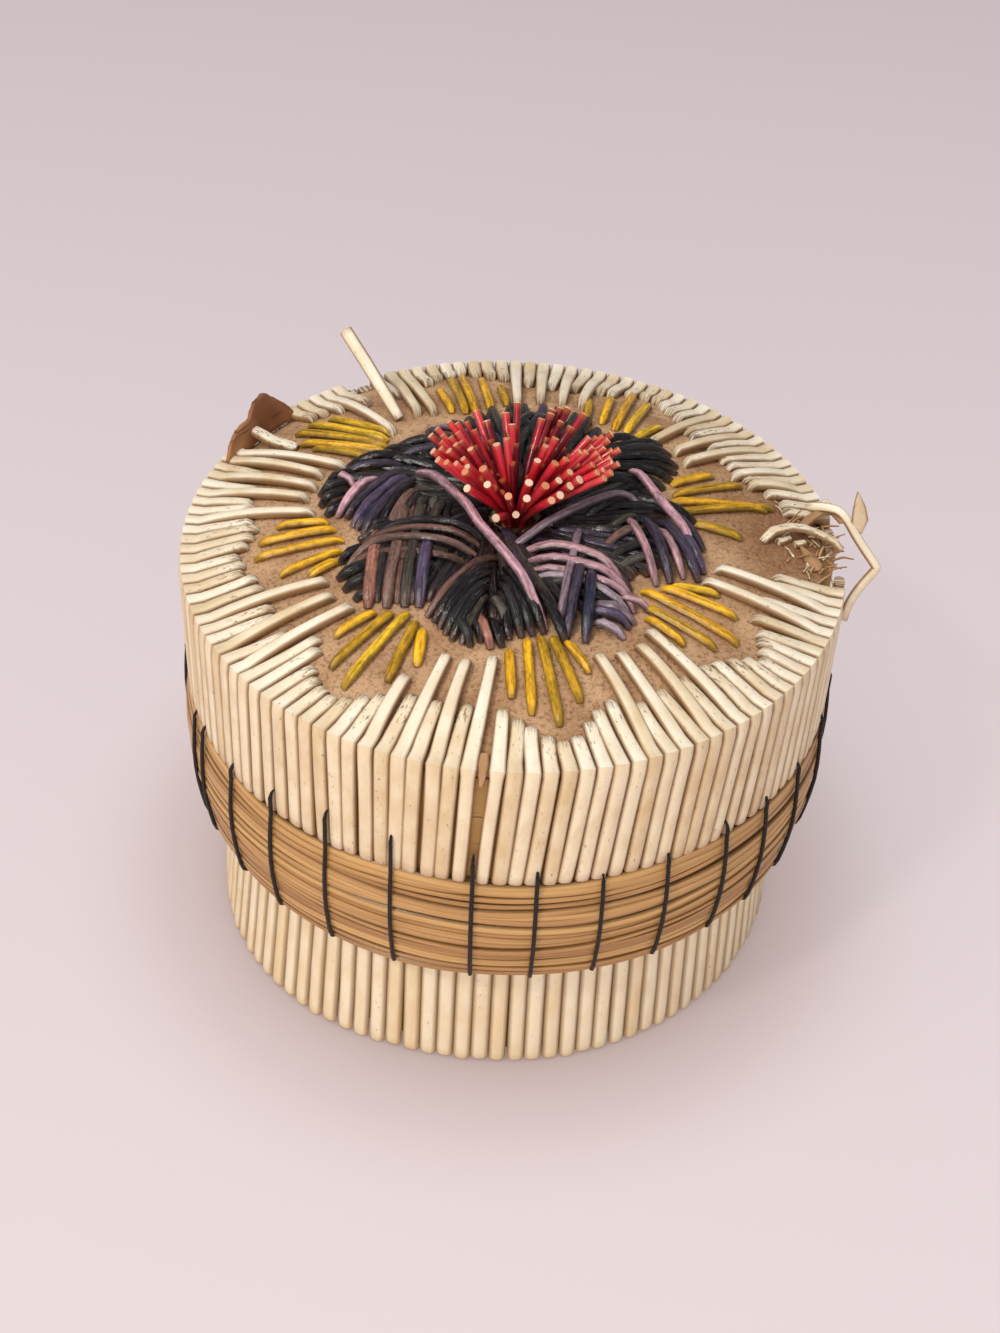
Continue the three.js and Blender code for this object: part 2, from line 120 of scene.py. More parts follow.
# Every quill, stem and thread is swept along a guide: a line of points that knows which way is out,
# how wide and thick the piece is there, how dirty it is, and its dye.
def makeGuide(points, outward, width, thick, tone, dirt=0, dye="#FFFFFF", closed=False):
    count = len(points)
    spread = lambda value: list(value) if isinstance(value, (list, tuple)) else [value] * count
    return {
        "points": [Vector(p) for p in points],
        "outward": spread(outward),
        "width": spread(width),
        "thick": spread(thick),
        "dirt": spread(dirt),
        "tone": tone,
        "dye": linear(dye),
        "closed": closed,
    }


def guideMesh(name, guides):
    verts, edges = [], []
    for guide in guides:
        first = len(verts)
        verts += [p * mm for p in guide["points"]]
        edges += [(k, k + 1) for k in range(first, len(verts) - 1)]
        if guide["closed"]:
            edges.append((len(verts) - 1, first))
    mesh = bpy.data.meshes.new(name)
    mesh.from_pydata(verts, edges, [])
    for key, kind, scale in (("width", "FLOAT", mm), ("thick", "FLOAT", mm), ("dirt", "FLOAT", 1)):
        values = [value * scale for guide in guides for value in guide[key]]
        mesh.attributes.new(key, kind, "POINT").data.foreach_set("value", values)
    tones = [guide["tone"] for guide in guides for _ in guide["points"]]
    mesh.attributes.new("quillTone", "FLOAT", "POINT").data.foreach_set("value", tones)
    outward = [c for guide in guides for way in guide["outward"] for c in way]
    mesh.attributes.new("outward", "FLOAT_VECTOR", "POINT").data.foreach_set("vector", outward)
    dyes = [c for guide in guides for _ in guide["points"] for c in guide["dye"]]
    mesh.attributes.new("quillDye", "FLOAT_COLOR", "POINT").data.foreach_set("color", dyes)
    return mesh


# Numbers and vectors in a node tree; every value may be a socket or a constant.
def maths(tree, operation, *values, **settings):
    inputs = dict(enumerate(values))
    return addNode(tree, "ShaderNodeMath", inputs, operation=operation, **settings).outputs[0]


def vectorMaths(tree, operation, *values, scale=None):
    inputs = dict(enumerate(values))
    if scale is not None:
        inputs["Scale"] = scale
    return addNode(tree, "ShaderNodeVectorMath", inputs, operation=operation).outputs[0]


sweepInputs = {
    "Guides": "NodeSocketGeometry",
    "Sides": "NodeSocketInt",
    "Squareness": "NodeSocketFloat",  # 2 is a true ellipse, more is flatter faced
    "Wander": "NodeSocketFloat",
    "Wander Length": "NodeSocketFloat",
    "Seed": "NodeSocketInt",
    "Material": "NodeSocketMaterial",
}
sharpAngle = math.radians(48)


def makeSweepTree():
    tree = bpy.data.node_groups.new("sweepAlongGuides", "GeometryNodeTree")
    for name, kind in sweepInputs.items():
        tree.interface.new_socket(name, in_out="INPUT", socket_type=kind)
    tree.interface.new_socket("Geometry", in_out="OUTPUT", socket_type="NodeSocketGeometry")
    given = addNode(tree, "NodeGroupInput").outputs

    def named(name, kind="FLOAT"):
        return addNode(tree, "GeometryNodeInputNamedAttribute", {"Name": name}, data_type=kind).outputs[0]

    def store(geometry, name, value, kind="FLOAT"):
        inputs = {"Geometry": geometry, "Name": name, "Value": value}
        kept = addNode(tree, "GeometryNodeStoreNamedAttribute", inputs, data_type=kind, domain="POINT")
        return kept.outputs[0]

    # each guide wanders a little by itself
    tone = named("quillTone")
    spot = addNode(tree, "GeometryNodeInputPosition").outputs[0]
    tilt = maths(tree, "MULTIPLY_ADD", tone, 97.0, given["Seed"])
    scale = maths(tree, "DIVIDE", 1.0, given["Wander Length"])
    drift = addNode(tree, "ShaderNodeTexNoise", {"Vector": spot, "W": tilt, "Scale": scale, "Detail": 1.0},
                    noise_dimensions="4D").outputs["Color"]
    centred = vectorMaths(tree, "SUBTRACT", drift, (0.5, 0.5, 0.5))
    offset = vectorMaths(tree, "SCALE", centred, scale=given["Wander"])
    curve = addNode(tree, "GeometryNodeMeshToCurve", {"Mesh": given["Guides"]}).outputs[0]
    curve = addNode(tree, "GeometryNodeSetPosition", {"Geometry": curve, "Offset": offset}).outputs[0]

    # the frame that the section is set in: across the quill, and out from what carries it
    tangent = addNode(tree, "GeometryNodeInputTangent").outputs[0]
    side = vectorMaths(tree, "CROSS_PRODUCT", tangent, named("outward", "FLOAT_VECTOR"))
    side = vectorMaths(tree, "NORMALIZE", side)
    rise = vectorMaths(tree, "NORMALIZE", vectorMaths(tree, "CROSS_PRODUCT", side, tangent))
    parameter = addNode(tree, "GeometryNodeSplineParameter").outputs
    for name, value in (("guideCentre", spot), ("guideSide", side), ("guideRise", rise)):
        curve = store(curve, name, value, "FLOAT_VECTOR")
    curve = store(curve, "quillAlong", parameter["Factor"])
    curve = store(curve, "guideLength", parameter["Length"])

    # the section: a flattened round of unit size
    profile = addNode(tree, "GeometryNodeCurvePrimitiveCircle",
                      {"Resolution": given["Sides"], "Radius": 1.0}, mode="RADIUS").outputs[0]
    power = maths(tree, "DIVIDE", 2.0, given["Squareness"])
    corner = addNode(tree, "ShaderNodeSeparateXYZ", {0: spot}).outputs
    squared = []
    for axis in (0, 1):
        size = maths(tree, "POWER", maths(tree, "ABSOLUTE", corner[axis]), power)
        squared.append(maths(tree, "MULTIPLY", size, maths(tree, "SIGN", corner[axis])))
    for name, value in zip(("quillAcross", "quillOver"), squared):
        profile = store(profile, name, value)

    # the skin, with every point set by the guide's own frame
    skin = addNode(tree, "GeometryNodeCurveToMesh",
                   {"Curve": curve, "Profile Curve": profile, "Fill Caps": True}).outputs[0]
    place = named("guideCentre", "FLOAT_VECTOR")
    for share, size, way in (("quillAcross", "width", "guideSide"), ("quillOver", "thick", "guideRise")):
        reach = maths(tree, "MULTIPLY", maths(tree, "MULTIPLY", named(share), named(size)), 0.5)
        step = vectorMaths(tree, "SCALE", named(way, "FLOAT_VECTOR"), scale=reach)
        place = vectorMaths(tree, "ADD", place, step)
    skin = addNode(tree, "GeometryNodeSetPosition", {"Geometry": skin, "Position": place}).outputs[0]

    # a place on the quill's skin in millimetres: across, along, and apart from every other quill
    half = maths(tree, "MULTIPLY", named("width"), 0.5 / mm)
    x = maths(tree, "MULTIPLY", named("quillAcross"), half)
    y = maths(tree, "MULTIPLY", named("guideLength"), 1 / mm)
    z = maths(tree, "MULTIPLY", tone, 100.0)
    spotOnQuill = addNode(tree, "ShaderNodeCombineXYZ", {0: x, 1: y, 2: z}).outputs[0]
    skin = store(skin, "quillPlace", spotOnQuill, "FLOAT_VECTOR")

    bend = addNode(tree, "GeometryNodeInputMeshEdgeAngle").outputs[0]
    sharp = maths(tree, "GREATER_THAN", bend, sharpAngle)
    skin = addNode(tree, "GeometryNodeSetShadeSmooth", {"Geometry": skin, "Shade Smooth": True},
                   domain="FACE").outputs[0]
    skin = addNode(tree, "GeometryNodeSetShadeSmooth",
                   {"Geometry": skin, "Selection": sharp, "Shade Smooth": False}, domain="EDGE").outputs[0]
    skin = addNode(tree, "GeometryNodeRealizeInstances", {"Geometry": skin}).outputs[0]
    skin = addNode(tree, "GeometryNodeSetMaterial", {"Geometry": skin, "Material": given["Material"]})
    addNode(tree, "NodeGroupOutput", {"Geometry": skin.outputs[0]})
    return tree


sweepTree = makeSweepTree()
sweepSocket = {item.name: item.identifier for item in sweepTree.interface.items_tree
               if item.in_out == "INPUT"}
workingAttributes = ("outward", "width", "thick", "guideCentre", "guideSide", "guideRise", "guideLength",
                     "quillOver")


def link(piece):
    bpy.context.scene.collection.objects.link(piece)
    return piece


def sweep(name, guides, material, sides=8, squareness=2.3, wander=0.0, wanderLength=10.0, seed=1):
    holder = link(bpy.data.objects.new(name + "_guides", guideMesh(name + "_guides", guides)))
    modifier = holder.modifiers.new("sweep", "NODES")
    modifier.node_group = sweepTree
    values = {"Sides": sides, "Squareness": squareness, "Wander": wander * mm,
              "Wander Length": wanderLength * mm, "Seed": seed, "Material": material}
    for key, value in values.items():
        modifier[sweepSocket[key]] = value
    depsgraph = bpy.context.evaluated_depsgraph_get()
    solid = bpy.data.meshes.new_from_object(holder.evaluated_get(depsgraph), depsgraph=depsgraph)
    bpy.data.objects.remove(holder)
    solid.name = name
    for attribute in workingAttributes:
        if attribute in solid.attributes:
            solid.attributes.remove(solid.attributes[attribute])
    return link(bpy.data.objects.new(name, solid))


def fit(piece, body, slot, *nodes):
    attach(piece, body)
    if nodes:
        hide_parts(*nodes)
    return piece


def meshPiece(name, verts, faces, material, smooth=True):
    mesh = bpy.data.meshes.new(name)
    mesh.from_pydata(verts, [], faces)
    mesh.materials.append(material)
    for face in mesh.polygons:
        face.use_smooth = smooth
    return link(bpy.data.objects.new(name, mesh))


# A round piece turned from a closed outline of (radius, height) points; its sharp edges are eased.
turning = {"steps": 144, "ease": 0.12, "easedFrom": 40, "weld": 0.001}


def turned(name, outline, material, ease=turning["ease"]):
    steps = turning["steps"]
    verts = [polar(radius, 360 * k / steps, height) * mm for k in range(steps) for radius, height in outline]
    count = len(outline)
    faces = []
    for k in range(steps):
        here, there = k * count, ((k + 1) % steps) * count
        for j in range(count):
            nextJ = (j + 1) % count
            faces.append((here + j, here + nextJ, there + nextJ, there + j))
    piece = meshPiece(name, verts, faces, material)
    work = bmesh.new()
    work.from_mesh(piece.data)
    bmesh.ops.remove_doubles(work, verts=work.verts, dist=turning["weld"] * mm)
    bmesh.ops.dissolve_degenerate(work, edges=work.edges, dist=turning["weld"] * mm)
    bmesh.ops.recalc_face_normals(work, faces=work.faces)
    work.to_mesh(piece.data)
    work.free()
    bevel = piece.modifiers.new("easedEdges", "BEVEL")
    bevel.width = ease * mm
    bevel.segments = 2
    bevel.limit_method = "ANGLE"
    bevel.angle_limit = math.radians(turning["easedFrom"])
    bevel.harden_normals = True
    return piece


print("tools ready")


# Materials. Each reads the quill's own attributes, or Object coordinates on the pieces of bark. Places are
# in millimetres, so a stretch of (4, 0.16, 1) makes grain a quarter of a millimetre wide and 6 mm long.
def emptyMaterial(name):
    material = bpy.data.materials.new(name)
    material.use_nodes = True
    material.node_tree.nodes.clear()
    return material, material.node_tree


def makeMaterial(name, paint, look):
    # paint gives colour, roughness and height; the look's relief is (strength, depth in millimetres)
    material, tree = emptyMaterial(name)
    colour, roughness, height = paint(tree, look)
    strength, depth = look["relief"]
    relief = addNode(tree, "ShaderNodeBump", {"Height": height, "Strength": strength, "Distance": depth * mm})
    inputs = {"Base Color": colour, "Roughness": roughness, "Normal": relief.outputs[0]}
    surface = addNode(tree, "ShaderNodeBsdfPrincipled", {**inputs, **look.get("shader", {})})
    addNode(tree, "ShaderNodeOutputMaterial", {"Surface": surface.outputs[0]})
    return material


def own(tree, name, output="Fac"):
    return addNode(tree, "ShaderNodeAttribute", attribute_name=name).outputs[output]


def grain(tree, place, stretch=None, scale=1.0, detail=2.0, start=(0, 0, 0), **more):
    if stretch:
        inputs = {"Vector": place, "Location": start, "Scale": stretch}
        place = addNode(tree, "ShaderNodeMapping", inputs).outputs[0]
    inputs = {"Vector": place, "Scale": scale, "Detail": detail, **more}
    return addNode(tree, "ShaderNodeTexNoise", inputs).outputs["Fac"]


def ramp(tree, value, low, high, toLow=0.0, toHigh=1.0):
    return addNode(tree, "ShaderNodeMapRange", {0: value, 1: low, 2: high, 3: toLow, 4: toHigh}).outputs[0]


def tint(tree, share, under, over, blend="MIX"):
    # under and over are hex colours or sockets
    under, over = (linear(colour) if isinstance(colour, str) else colour for colour in (under, over))
    return addNode(tree, "ShaderNodeMix", {0: share, 6: under, 7: over}, data_type="RGBA",
                   blend_type=blend).outputs[2]


def weighted(tree, *parts):
    total = 0.0
    for value, weight in parts:
        total = maths(tree, "MULTIPLY_ADD", value, weight, total)
    return total


def paintedSeamShade(tree, colour, seam, start, full, share):
    # darker towards the quill's two long edges, at 1 on either side: painted shade where the rounded sides
    # turn away and where two pieces meet
    edge = maths(tree, "ABSOLUTE", own(tree, "quillAcross"))
    return tint(tree, ramp(tree, edge, start, full, 0.0, share), colour, seam)


# Undyed porcupine quill, flattened: a satin ivory skin with faint lengthwise ribs, brown specks where
# dirt has settled, darker edges where two quills meet (dirt, and painted shade in the gaps and on the
# rounded sides), and painted shade on its upright faces.
undyedLook = {
    "pale": "#FCF3DC", "deep": "#E2CCA4", "speck": "#6A4A28", "edge": "#8A6034", "end": "#B08566",
    "yellowed": "#F0E5D3", "edgeShare": 0.88, "edgeFrom": 0.64, "roughness": 0.36, "relief": (0.4, 0.16),
}


def undyedQuill(tree, look):
    place, along = own(tree, "quillPlace", "Vector"), own(tree, "quillAlong")
    # colour drifts over several millimetres, and from quill to quill
    drift = grain(tree, place, (0.5, 0.22, 1), detail=3.0)
    shade = weighted(tree, (drift, 0.9), (own(tree, "quillTone"), 0.4))
    colour = tint(tree, ramp(tree, shade, 0.42, 0.95), look["pale"], look["deep"])
    # specks of dirt, about half a millimetre
    speck = grain(tree, place, (2.2, 0.7, 1), scale=1.3, detail=6.0, Roughness=0.7)
    limit = maths(tree, "MULTIPLY_ADD", own(tree, "dirt"), -0.18, 0.65)
    speck = ramp(tree, maths(tree, "SUBTRACT", speck, limit), 0.0, 0.08, 0.0, 0.75)
    colour = tint(tree, speck, colour, look["speck"])
    # upright parts are painted a little darker and warmer than what lies flat: painted shade, as the light
    # comes from above
    facing = addNode(tree, "ShaderNodeNewGeometry").outputs["Normal"]
    facing = addNode(tree, "ShaderNodeSeparateXYZ", {0: facing}).outputs[2]
    colour = tint(tree, ramp(tree, facing, 0.75, 0.15, 0.0, 0.8), colour, look["yellowed"], "MULTIPLY")
    # the edges, darker with dirt and with painted shade in the gaps, and the end that is pushed through the
    # bark
    colour = paintedSeamShade(tree, colour, look["edge"], look["edgeFrom"], 0.98, look["edgeShare"])
    colour = tint(tree, ramp(tree, along, 0.93, 1.0, 0.0, 0.55), colour, look["end"])
    # ribs along the quill, and a few wrinkles across it
    ribs = grain(tree, place, (4.0, 0.16, 1))
    wrinkles = grain(tree, place, (0.5, 2.0, 1))
    height = weighted(tree, (ribs, 1.0), (wrinkles, 0.5), (speck, -0.5))
    # brown streaks where the other end comes up out of the bark
    streak = ramp(tree, along, 0.0, 0.06, 0.9, 0.0)
    torn = ramp(tree, ribs, 0.42, 0.56, 0.15, 1.0)
    colour = tint(tree, maths(tree, "MULTIPLY", streak, torn), colour, look["speck"])
    return colour, maths(tree, "MULTIPLY_ADD", speck, 0.5, look["roughness"]), height


# Dyed quill: aniline dye, thinner at its ends, over the same smooth, slightly glossy skin. Its colour is
# painted lighter on the crests of the lengthwise ribs and darker in the creases, with pale streaks of painted
# highlight and painted shade along the long edges.
dyedLook = {
    "tip": "#6B4A3A", "tipShare": 0.5, "seam": "#120E0D", "scuff": "#A89A92", "scuffShare": 0.3,
    "roughness": 0.18, "relief": (1.0, 0.24), "shader": {"IOR": 1.55, "Specular IOR Level": 0.85},
}


def dyedQuill(tree, look):
    place = own(tree, "quillPlace", "Vector")
    ribs = grain(tree, place, (2.6, 0.2, 1), detail=4.0)
    crease = grain(tree, place, (3.4, 1.3, 1), detail=4.0)
    height = weighted(tree, (ribs, 1.0), (crease, 0.6))
    # painted light and shade: the dye is lighter on the ribs' crests and darker in the creases
    light = ramp(tree, height, 0.6, 1.0, 0.5, 1.6)
    colour = vectorMaths(tree, "SCALE", own(tree, "quillDye", "Color"), scale=light)
    # pale streaks of painted highlight along the quill
    scuff = grain(tree, place, (5, 0.5, 1), detail=5.0, start=(9, 3, 0), Roughness=0.7)
    colour = tint(tree, ramp(tree, scuff, 0.54, 0.7, 0.0, look["scuffShare"]), colour, look["scuff"])
    # painted shade along the long edges
    colour = paintedSeamShade(tree, colour, look["seam"], 0.6, 1.0, 0.85)
    end = ramp(tree, own(tree, "quillAlong"), 0.86, 1.0, 0.0, look["tipShare"])
    colour = tint(tree, end, colour, look["tip"])
    return colour, ramp(tree, ribs, 0.3, 0.7, look["roughness"], look["roughness"] + 0.15), height


# The red tuft's quills are the same dyed stock, clipped square so that the white pith shows at the tips.
tuftLook = {"pith": "#F2D2B4", "rim": "#D9743E", "roughness": 0.28, "relief": (0.35, 0.12),
            "shader": {"IOR": 1.55, "Specular IOR Level": 0.8}}


def clippedQuill(tree, look):
    along = own(tree, "quillAlong")
    ribs = grain(tree, own(tree, "quillPlace", "Vector"), (2.4, 0.3, 1), detail=3.0)
    # darker down in the tuft, painted shade among the strands, and lighter on the ribs' crests than between
    # them, painted light
    deep = ramp(tree, along, 0.1, 0.75, 0.5, 1.0)
    light = maths(tree, "MULTIPLY", ramp(tree, ribs, 0.3, 0.7, 0.75, 1.3), deep)
    colour = vectorMaths(tree, "SCALE", own(tree, "quillDye", "Color"), scale=light)
    colour = tint(tree, ramp(tree, along, 0.93, 0.99, 0.0, 0.5), colour, look["rim"])
    # the dirt attribute is 1 on the shorter strands underneath, which are painted deep red for their shade
    whole = own(tree, "dirt")  # 1 on ends that stay red
    cut = maths(tree, "GREATER_THAN", along, 0.992)
    cut = maths(tree, "SUBTRACT", cut, whole, use_clamp=True)
    warm = ramp(tree, own(tree, "quillTone"), 0.35, 0.8, 0.0, 0.75)
    colour = tint(tree, cut, colour, tint(tree, warm, look["pith"], look["rim"]))
    return colour, look["roughness"], ribs


# Dried sweetgrass: long flat-sided stems with a silky sheen, tan to golden, with painted shade where they
# meet.
grassLook = {"pale": "#D6AA6A", "deep": "#A07040", "seam": "#4A3018", "roughness": 0.33,
             "relief": (0.5, 0.12)}


def driedGrass(tree, look):
    place = own(tree, "quillPlace", "Vector")
    fibre = grain(tree, place, (6.0, 0.1, 1), detail=4.0, Roughness=0.6)
    patch = grain(tree, place, (0.3, 0.05, 1))
    shade = weighted(tree, (fibre, 0.9), (patch, 0.7), (own(tree, "quillTone"), 0.5))
    colour = tint(tree, ramp(tree, shade, 0.7, 1.4), look["pale"], look["deep"])
    return paintedSeamShade(tree, colour, look["seam"], 0.55, 1.0, 0.85), look["roughness"], fibre


# Waxed cotton thread: nearly black, with the two-ply twist as slanting ridges; their crowns are painted a
# little lighter than the grooves, as painted light and shade.
threadLook = {"dark": "#0D0B0B", "light": "#231E1C", "plyLength": 1.1, "slant": 40, "roughness": 0.5,
              "relief": (0.8, 0.15)}


def waxedThread(tree, look):
    inputs = {"Vector": own(tree, "quillPlace", "Vector"), "Rotation": (0, 0, math.radians(look["slant"]))}
    slanted = addNode(tree, "ShaderNodeMapping", inputs).outputs[0]
    inputs = {"Vector": slanted, "Scale": 1 / look["plyLength"], "Distortion": 0.6}
    ply = addNode(tree, "ShaderNodeTexWave", inputs, bands_direction="Y").outputs["Fac"]
    return tint(tree, ply, look["dark"], look["light"]), look["roughness"], ply


# Birch bark. The worked top is its brown inner face, rubbed to a suede nap; the outer face is smooth and
# golden with dark breathing pores that run round the tree.
napLook = {"pale": "#E8BE92", "deep": "#C2966E", "dust": "#6A4A30", "lint": "#D8B68E", "grain": 0.55,
           "raw": "#8E5A34", "rawPlace": (38, 4, 62), "rawFrom": 15, "rawTo": 5,
           "cloud": (0.16, 5.0), "roughness": 0.92, "relief": (1.0, 0.4)}
barkLook = {"pale": "#D0A868", "deep": "#B98A50", "pore": "#7A5028", "poreLength": 6, "poreHeight": 0.5,
            "cloud": (0.12, 6.0), "roughness": 0.62, "relief": (0.3, 0.1)}


def barkGround(tree, look):
    # the place in millimetres, a slow cloud over it, and the two tones that the cloud blends
    spot = addNode(tree, "ShaderNodeTexCoord").outputs["Object"]
    inMm = vectorMaths(tree, "SCALE", spot, scale=1 / mm)
    scale, detail = look["cloud"]
    cloud = grain(tree, inMm, scale=scale, detail=detail)
    return inMm, cloud, tint(tree, ramp(tree, cloud, 0.35, 0.65), look["pale"], look["deep"])


def barkNap(tree, look):
    inMm, _, colour = barkGround(tree, look)
    # split bark lies bare where the folds broke away; the patch is darker also as painted shade of the hollow
    # under the broken quills
    raw = addNode(tree, "ShaderNodeVectorMath", {0: inMm, 1: look["rawPlace"]}, operation="DISTANCE")
    raw = ramp(tree, raw.outputs["Value"], look["rawFrom"], look["rawTo"], 0.0, 0.75)
    colour = tint(tree, raw, colour, look["raw"])
    nap = grain(tree, inMm, scale=1 / look["grain"], detail=6.0, Roughness=0.75)
    colour = tint(tree, ramp(tree, nap, 0.46, 0.34, 0.0, 0.55), colour, look["lint"])
    colour = tint(tree, ramp(tree, nap, 0.5, 0.64, 0.0, 0.7), colour, look["dust"])
    return colour, look["roughness"], nap


def barkFace(tree, look):
    inMm, cloud, colour = barkGround(tree, look)
    poreScale = (1 / look["poreLength"], 1 / look["poreLength"], 1 / look["poreHeight"])
    pores = ramp(tree, grain(tree, inMm, poreScale), 0.64, 0.72)
    return tint(tree, pores, colour, look["pore"]), look["roughness"], cloud


# the same stocks in other colours
boxQuillLook = dict(undyedLook, pale="#FFF8E4", deep="#F2DFBA", yellowed="#F4EAD8", end="#D8BC8A",
                    edge="#84602F", edgeFrom=0.5, edgeShare=0.85)
yellowLook = dict(dyedLook, tip="#6E5210", tipShare=0.7, seam="#6A5410", scuff="#F4D860", roughness=0.26)
tornLook = dict(barkLook, pale="#B07C52", deep="#85573A", pore="#6A4028")
splitLook = dict(grassLook, pale="#D8B083", deep="#9C7048", seam="#7A5434")
liningLook = dict(barkLook, pale="#C99E6C", deep="#B4855A")
whiteQuill = makeMaterial("undyed_porcupine_quill", undyedQuill, undyedLook)
boxQuill = makeMaterial("undyed_quill_of_the_box", undyedQuill, boxQuillLook)
colouredQuill = makeMaterial("aniline_dyed_quill", dyedQuill, dyedLook)
yellowQuill = makeMaterial("yellow_dyed_quill", dyedQuill, yellowLook)
redQuill = makeMaterial("red_dyed_quill_clipped", clippedQuill, tuftLook)
grass = makeMaterial("dried_sweetgrass", driedGrass, grassLook)
thread = makeMaterial("black_waxed_thread", waxedThread, threadLook)
suedeBark = makeMaterial("birch_bark_inner_nap", barkNap, napLook)
smoothBark = makeMaterial("birch_bark_outer_face", barkFace, barkLook)
tornBark = makeMaterial("birch_bark_torn_flake", barkFace, tornLook)
splitBark = makeMaterial("birch_bark_split_edge", driedGrass, splitLook)
liningBark = makeMaterial("birch_bark_lining", barkFace, liningLook)
print("materials ready")


# The camera and the light.
camera = {"focal": 2000, "frameHeight": 1333,  # in pixels
          "elevation": 41.3, "roll": 2.8, "distance": 285.1, "target": (-1.0, 0.0, 37.3)}


def makeCamera():
    data = bpy.data.cameras.new("camera")
    data.sensor_fit = "VERTICAL"
    data.sensor_height = 36
    data.lens = camera["focal"] / camera["frameHeight"] * data.sensor_height
    eye = link(bpy.data.objects.new("camera", data))
    elevation, roll = math.radians(camera["elevation"]), math.radians(camera["roll"])
    ahead = Vector((0, math.cos(elevation), -math.sin(elevation)))
    right = Vector((1, 0, 0))
    above = right.cross(ahead)
    turnedRight = math.cos(roll) * right + math.sin(roll) * above
    turnedAbove = -math.sin(roll) * right + math.cos(roll) * above
    place = Vector(camera["target"]) - camera["distance"] * ahead
    matrix = Matrix((turnedRight, turnedAbove, -ahead)).transposed().to_4x4()
    matrix.translation = place * mm
    eye.matrix_world = matrix
    bpy.context.scene.camera = eye


lights = {
    "softbox": {"place": (-240, -120, 900), "size": 500, "energy": 2.5, "colour": "#FFFAF5"},
    "key": {"place": (-260, -300, 520), "size": 60, "energy": 1.1, "colour": "#FFF8F0"},
    "front": {"place": (-40, -640, 190), "size": 420, "energy": 1.12, "colour": "#FFF6EE"},
}
aimedAt = 30  # the lamps point at this height on the basket's axis
# the board is painted evenly pale, with painted shade that darkens it a little from nearY to farY (in
# metres), as the light falls off towards the back
room = {
    "air": "#F6F1F3", "airStrength": 0.56, "glossStrength": 0.16, "floor": "#EBDDDF", "far": "#CABDC1",
    "shown": 0.67,  # how much of the board's colour the camera sees without light and shade
    "nearY": -0.12, "farY": 0.45, "contactShadow": "#A98D80", "contactShadowReach": 26, "floorSize": 6000,
}


def makeLight(name, look):
    data = bpy.data.lights.new(name, "AREA")
    data.shape = "DISK"
    data.size = look["size"] * mm
    data.energy = look["energy"]
    data.color = linear(look["colour"])[:3]
    lamp = link(bpy.data.objects.new(name, data))
    lamp.location = Vector(look["place"]) * mm
    aim = Vector((0, 0, aimedAt)) * mm - lamp.location
    lamp.rotation_euler = aim.to_track_quat("-Z", "Y").to_euler()
    lamp.visible_glossy = name == "key"  # only the small lamp draws highlights, so they stay thin


def mixShaders(tree, share, first, second):
    return addNode(tree, "ShaderNodeMixShader", {0: share, 1: first, 2: second}).outputs[0]


def makeRoom():
    world = bpy.data.worlds.new("room")
    bpy.context.scene.world = world
    world.use_nodes = True
    tree = world.node_tree
    tree.nodes.clear()
    ray = addNode(tree, "ShaderNodeLightPath").outputs
    # the air as light, as it is mirrored, and as the camera sees it, in the colour of the far board's painted
    # shade
    airs = ((room["air"], room["airStrength"]), (room["air"], room["glossStrength"]), (room["far"], 1.0))
    skies = [addNode(tree, "ShaderNodeBackground", {"Color": linear(colour), "Strength": strength}).outputs[0]
             for colour, strength in airs]
    mixed = mixShaders(tree, ray["Is Glossy Ray"], skies[0], skies[1])
    mixed = mixShaders(tree, ray["Is Camera Ray"], mixed, skies[2])
    addNode(tree, "ShaderNodeOutputWorld", {"Surface": mixed})
    material, tree = emptyMaterial("painted_board")  # a matt painted board, faintly uneven
    spot = addNode(tree, "ShaderNodeTexCoord").outputs["Object"]
    depth = addNode(tree, "ShaderNodeSeparateXYZ", {0: spot}).outputs[1]
    # painted shade: darker towards the back of the board
    colour = tint(tree, ramp(tree, depth, room["nearY"], room["farY"]), room["floor"], room["far"])
    # a painted contact shadow: the board turns warm brown where the basket stands close above it
    openness = addNode(tree, "ShaderNodeAmbientOcclusion", {"Distance": room["contactShadowReach"] * mm}, samples=8)
    colour = tint(tree, ramp(tree, openness.outputs["AO"], 1.0, 0.3, 0.0, 0.8), colour, room["contactShadow"])
    cloud = grain(tree, spot, scale=7.0)
    relief = addNode(tree, "ShaderNodeBump", {"Height": cloud, "Strength": 0.05, "Distance": 0.1 * mm})
    lit = addNode(tree, "ShaderNodeBsdfPrincipled",
                  {"Base Color": colour, "Roughness": 0.8, "Normal": relief.outputs[0]})
    plain = addNode(tree, "ShaderNodeEmission", {"Color": colour, "Strength": 1.0})
    eyeRay = addNode(tree, "ShaderNodeLightPath").outputs["Is Camera Ray"]
    share = maths(tree, "MULTIPLY", eyeRay, room["shown"])
    mixed = mixShaders(tree, share, lit.outputs[0], plain.outputs[0])
    addNode(tree, "ShaderNodeOutputMaterial", {"Surface": mixed})
    half = room["floorSize"] / 2 * mm
    corners = [(-half, -half, 0), (half, -half, 0), (half, half, 0), (-half, half, 0)]
    meshPiece("floor", corners, [(0, 1, 2, 3)], material, smooth=False)
    for name, look in lights.items():
        makeLight(name, look)
    bpy.context.scene.view_settings.view_transform = "Standard"


makeCamera()
makeRoom()
print("camera and light ready")


# The box: bark hoop, floor, linings and neck strip, each taken from its place in the frame.
def hoopLike(name, node, thick, material, body, slot):
    low, high = lowOf(node), highOf(node)
    outer = high.x
    outline = [(outer - thick, low.z), (outer, low.z), (outer, high.z), (outer - thick, high.z)]
    fit(turned(name, outline, material), body, slot, node)


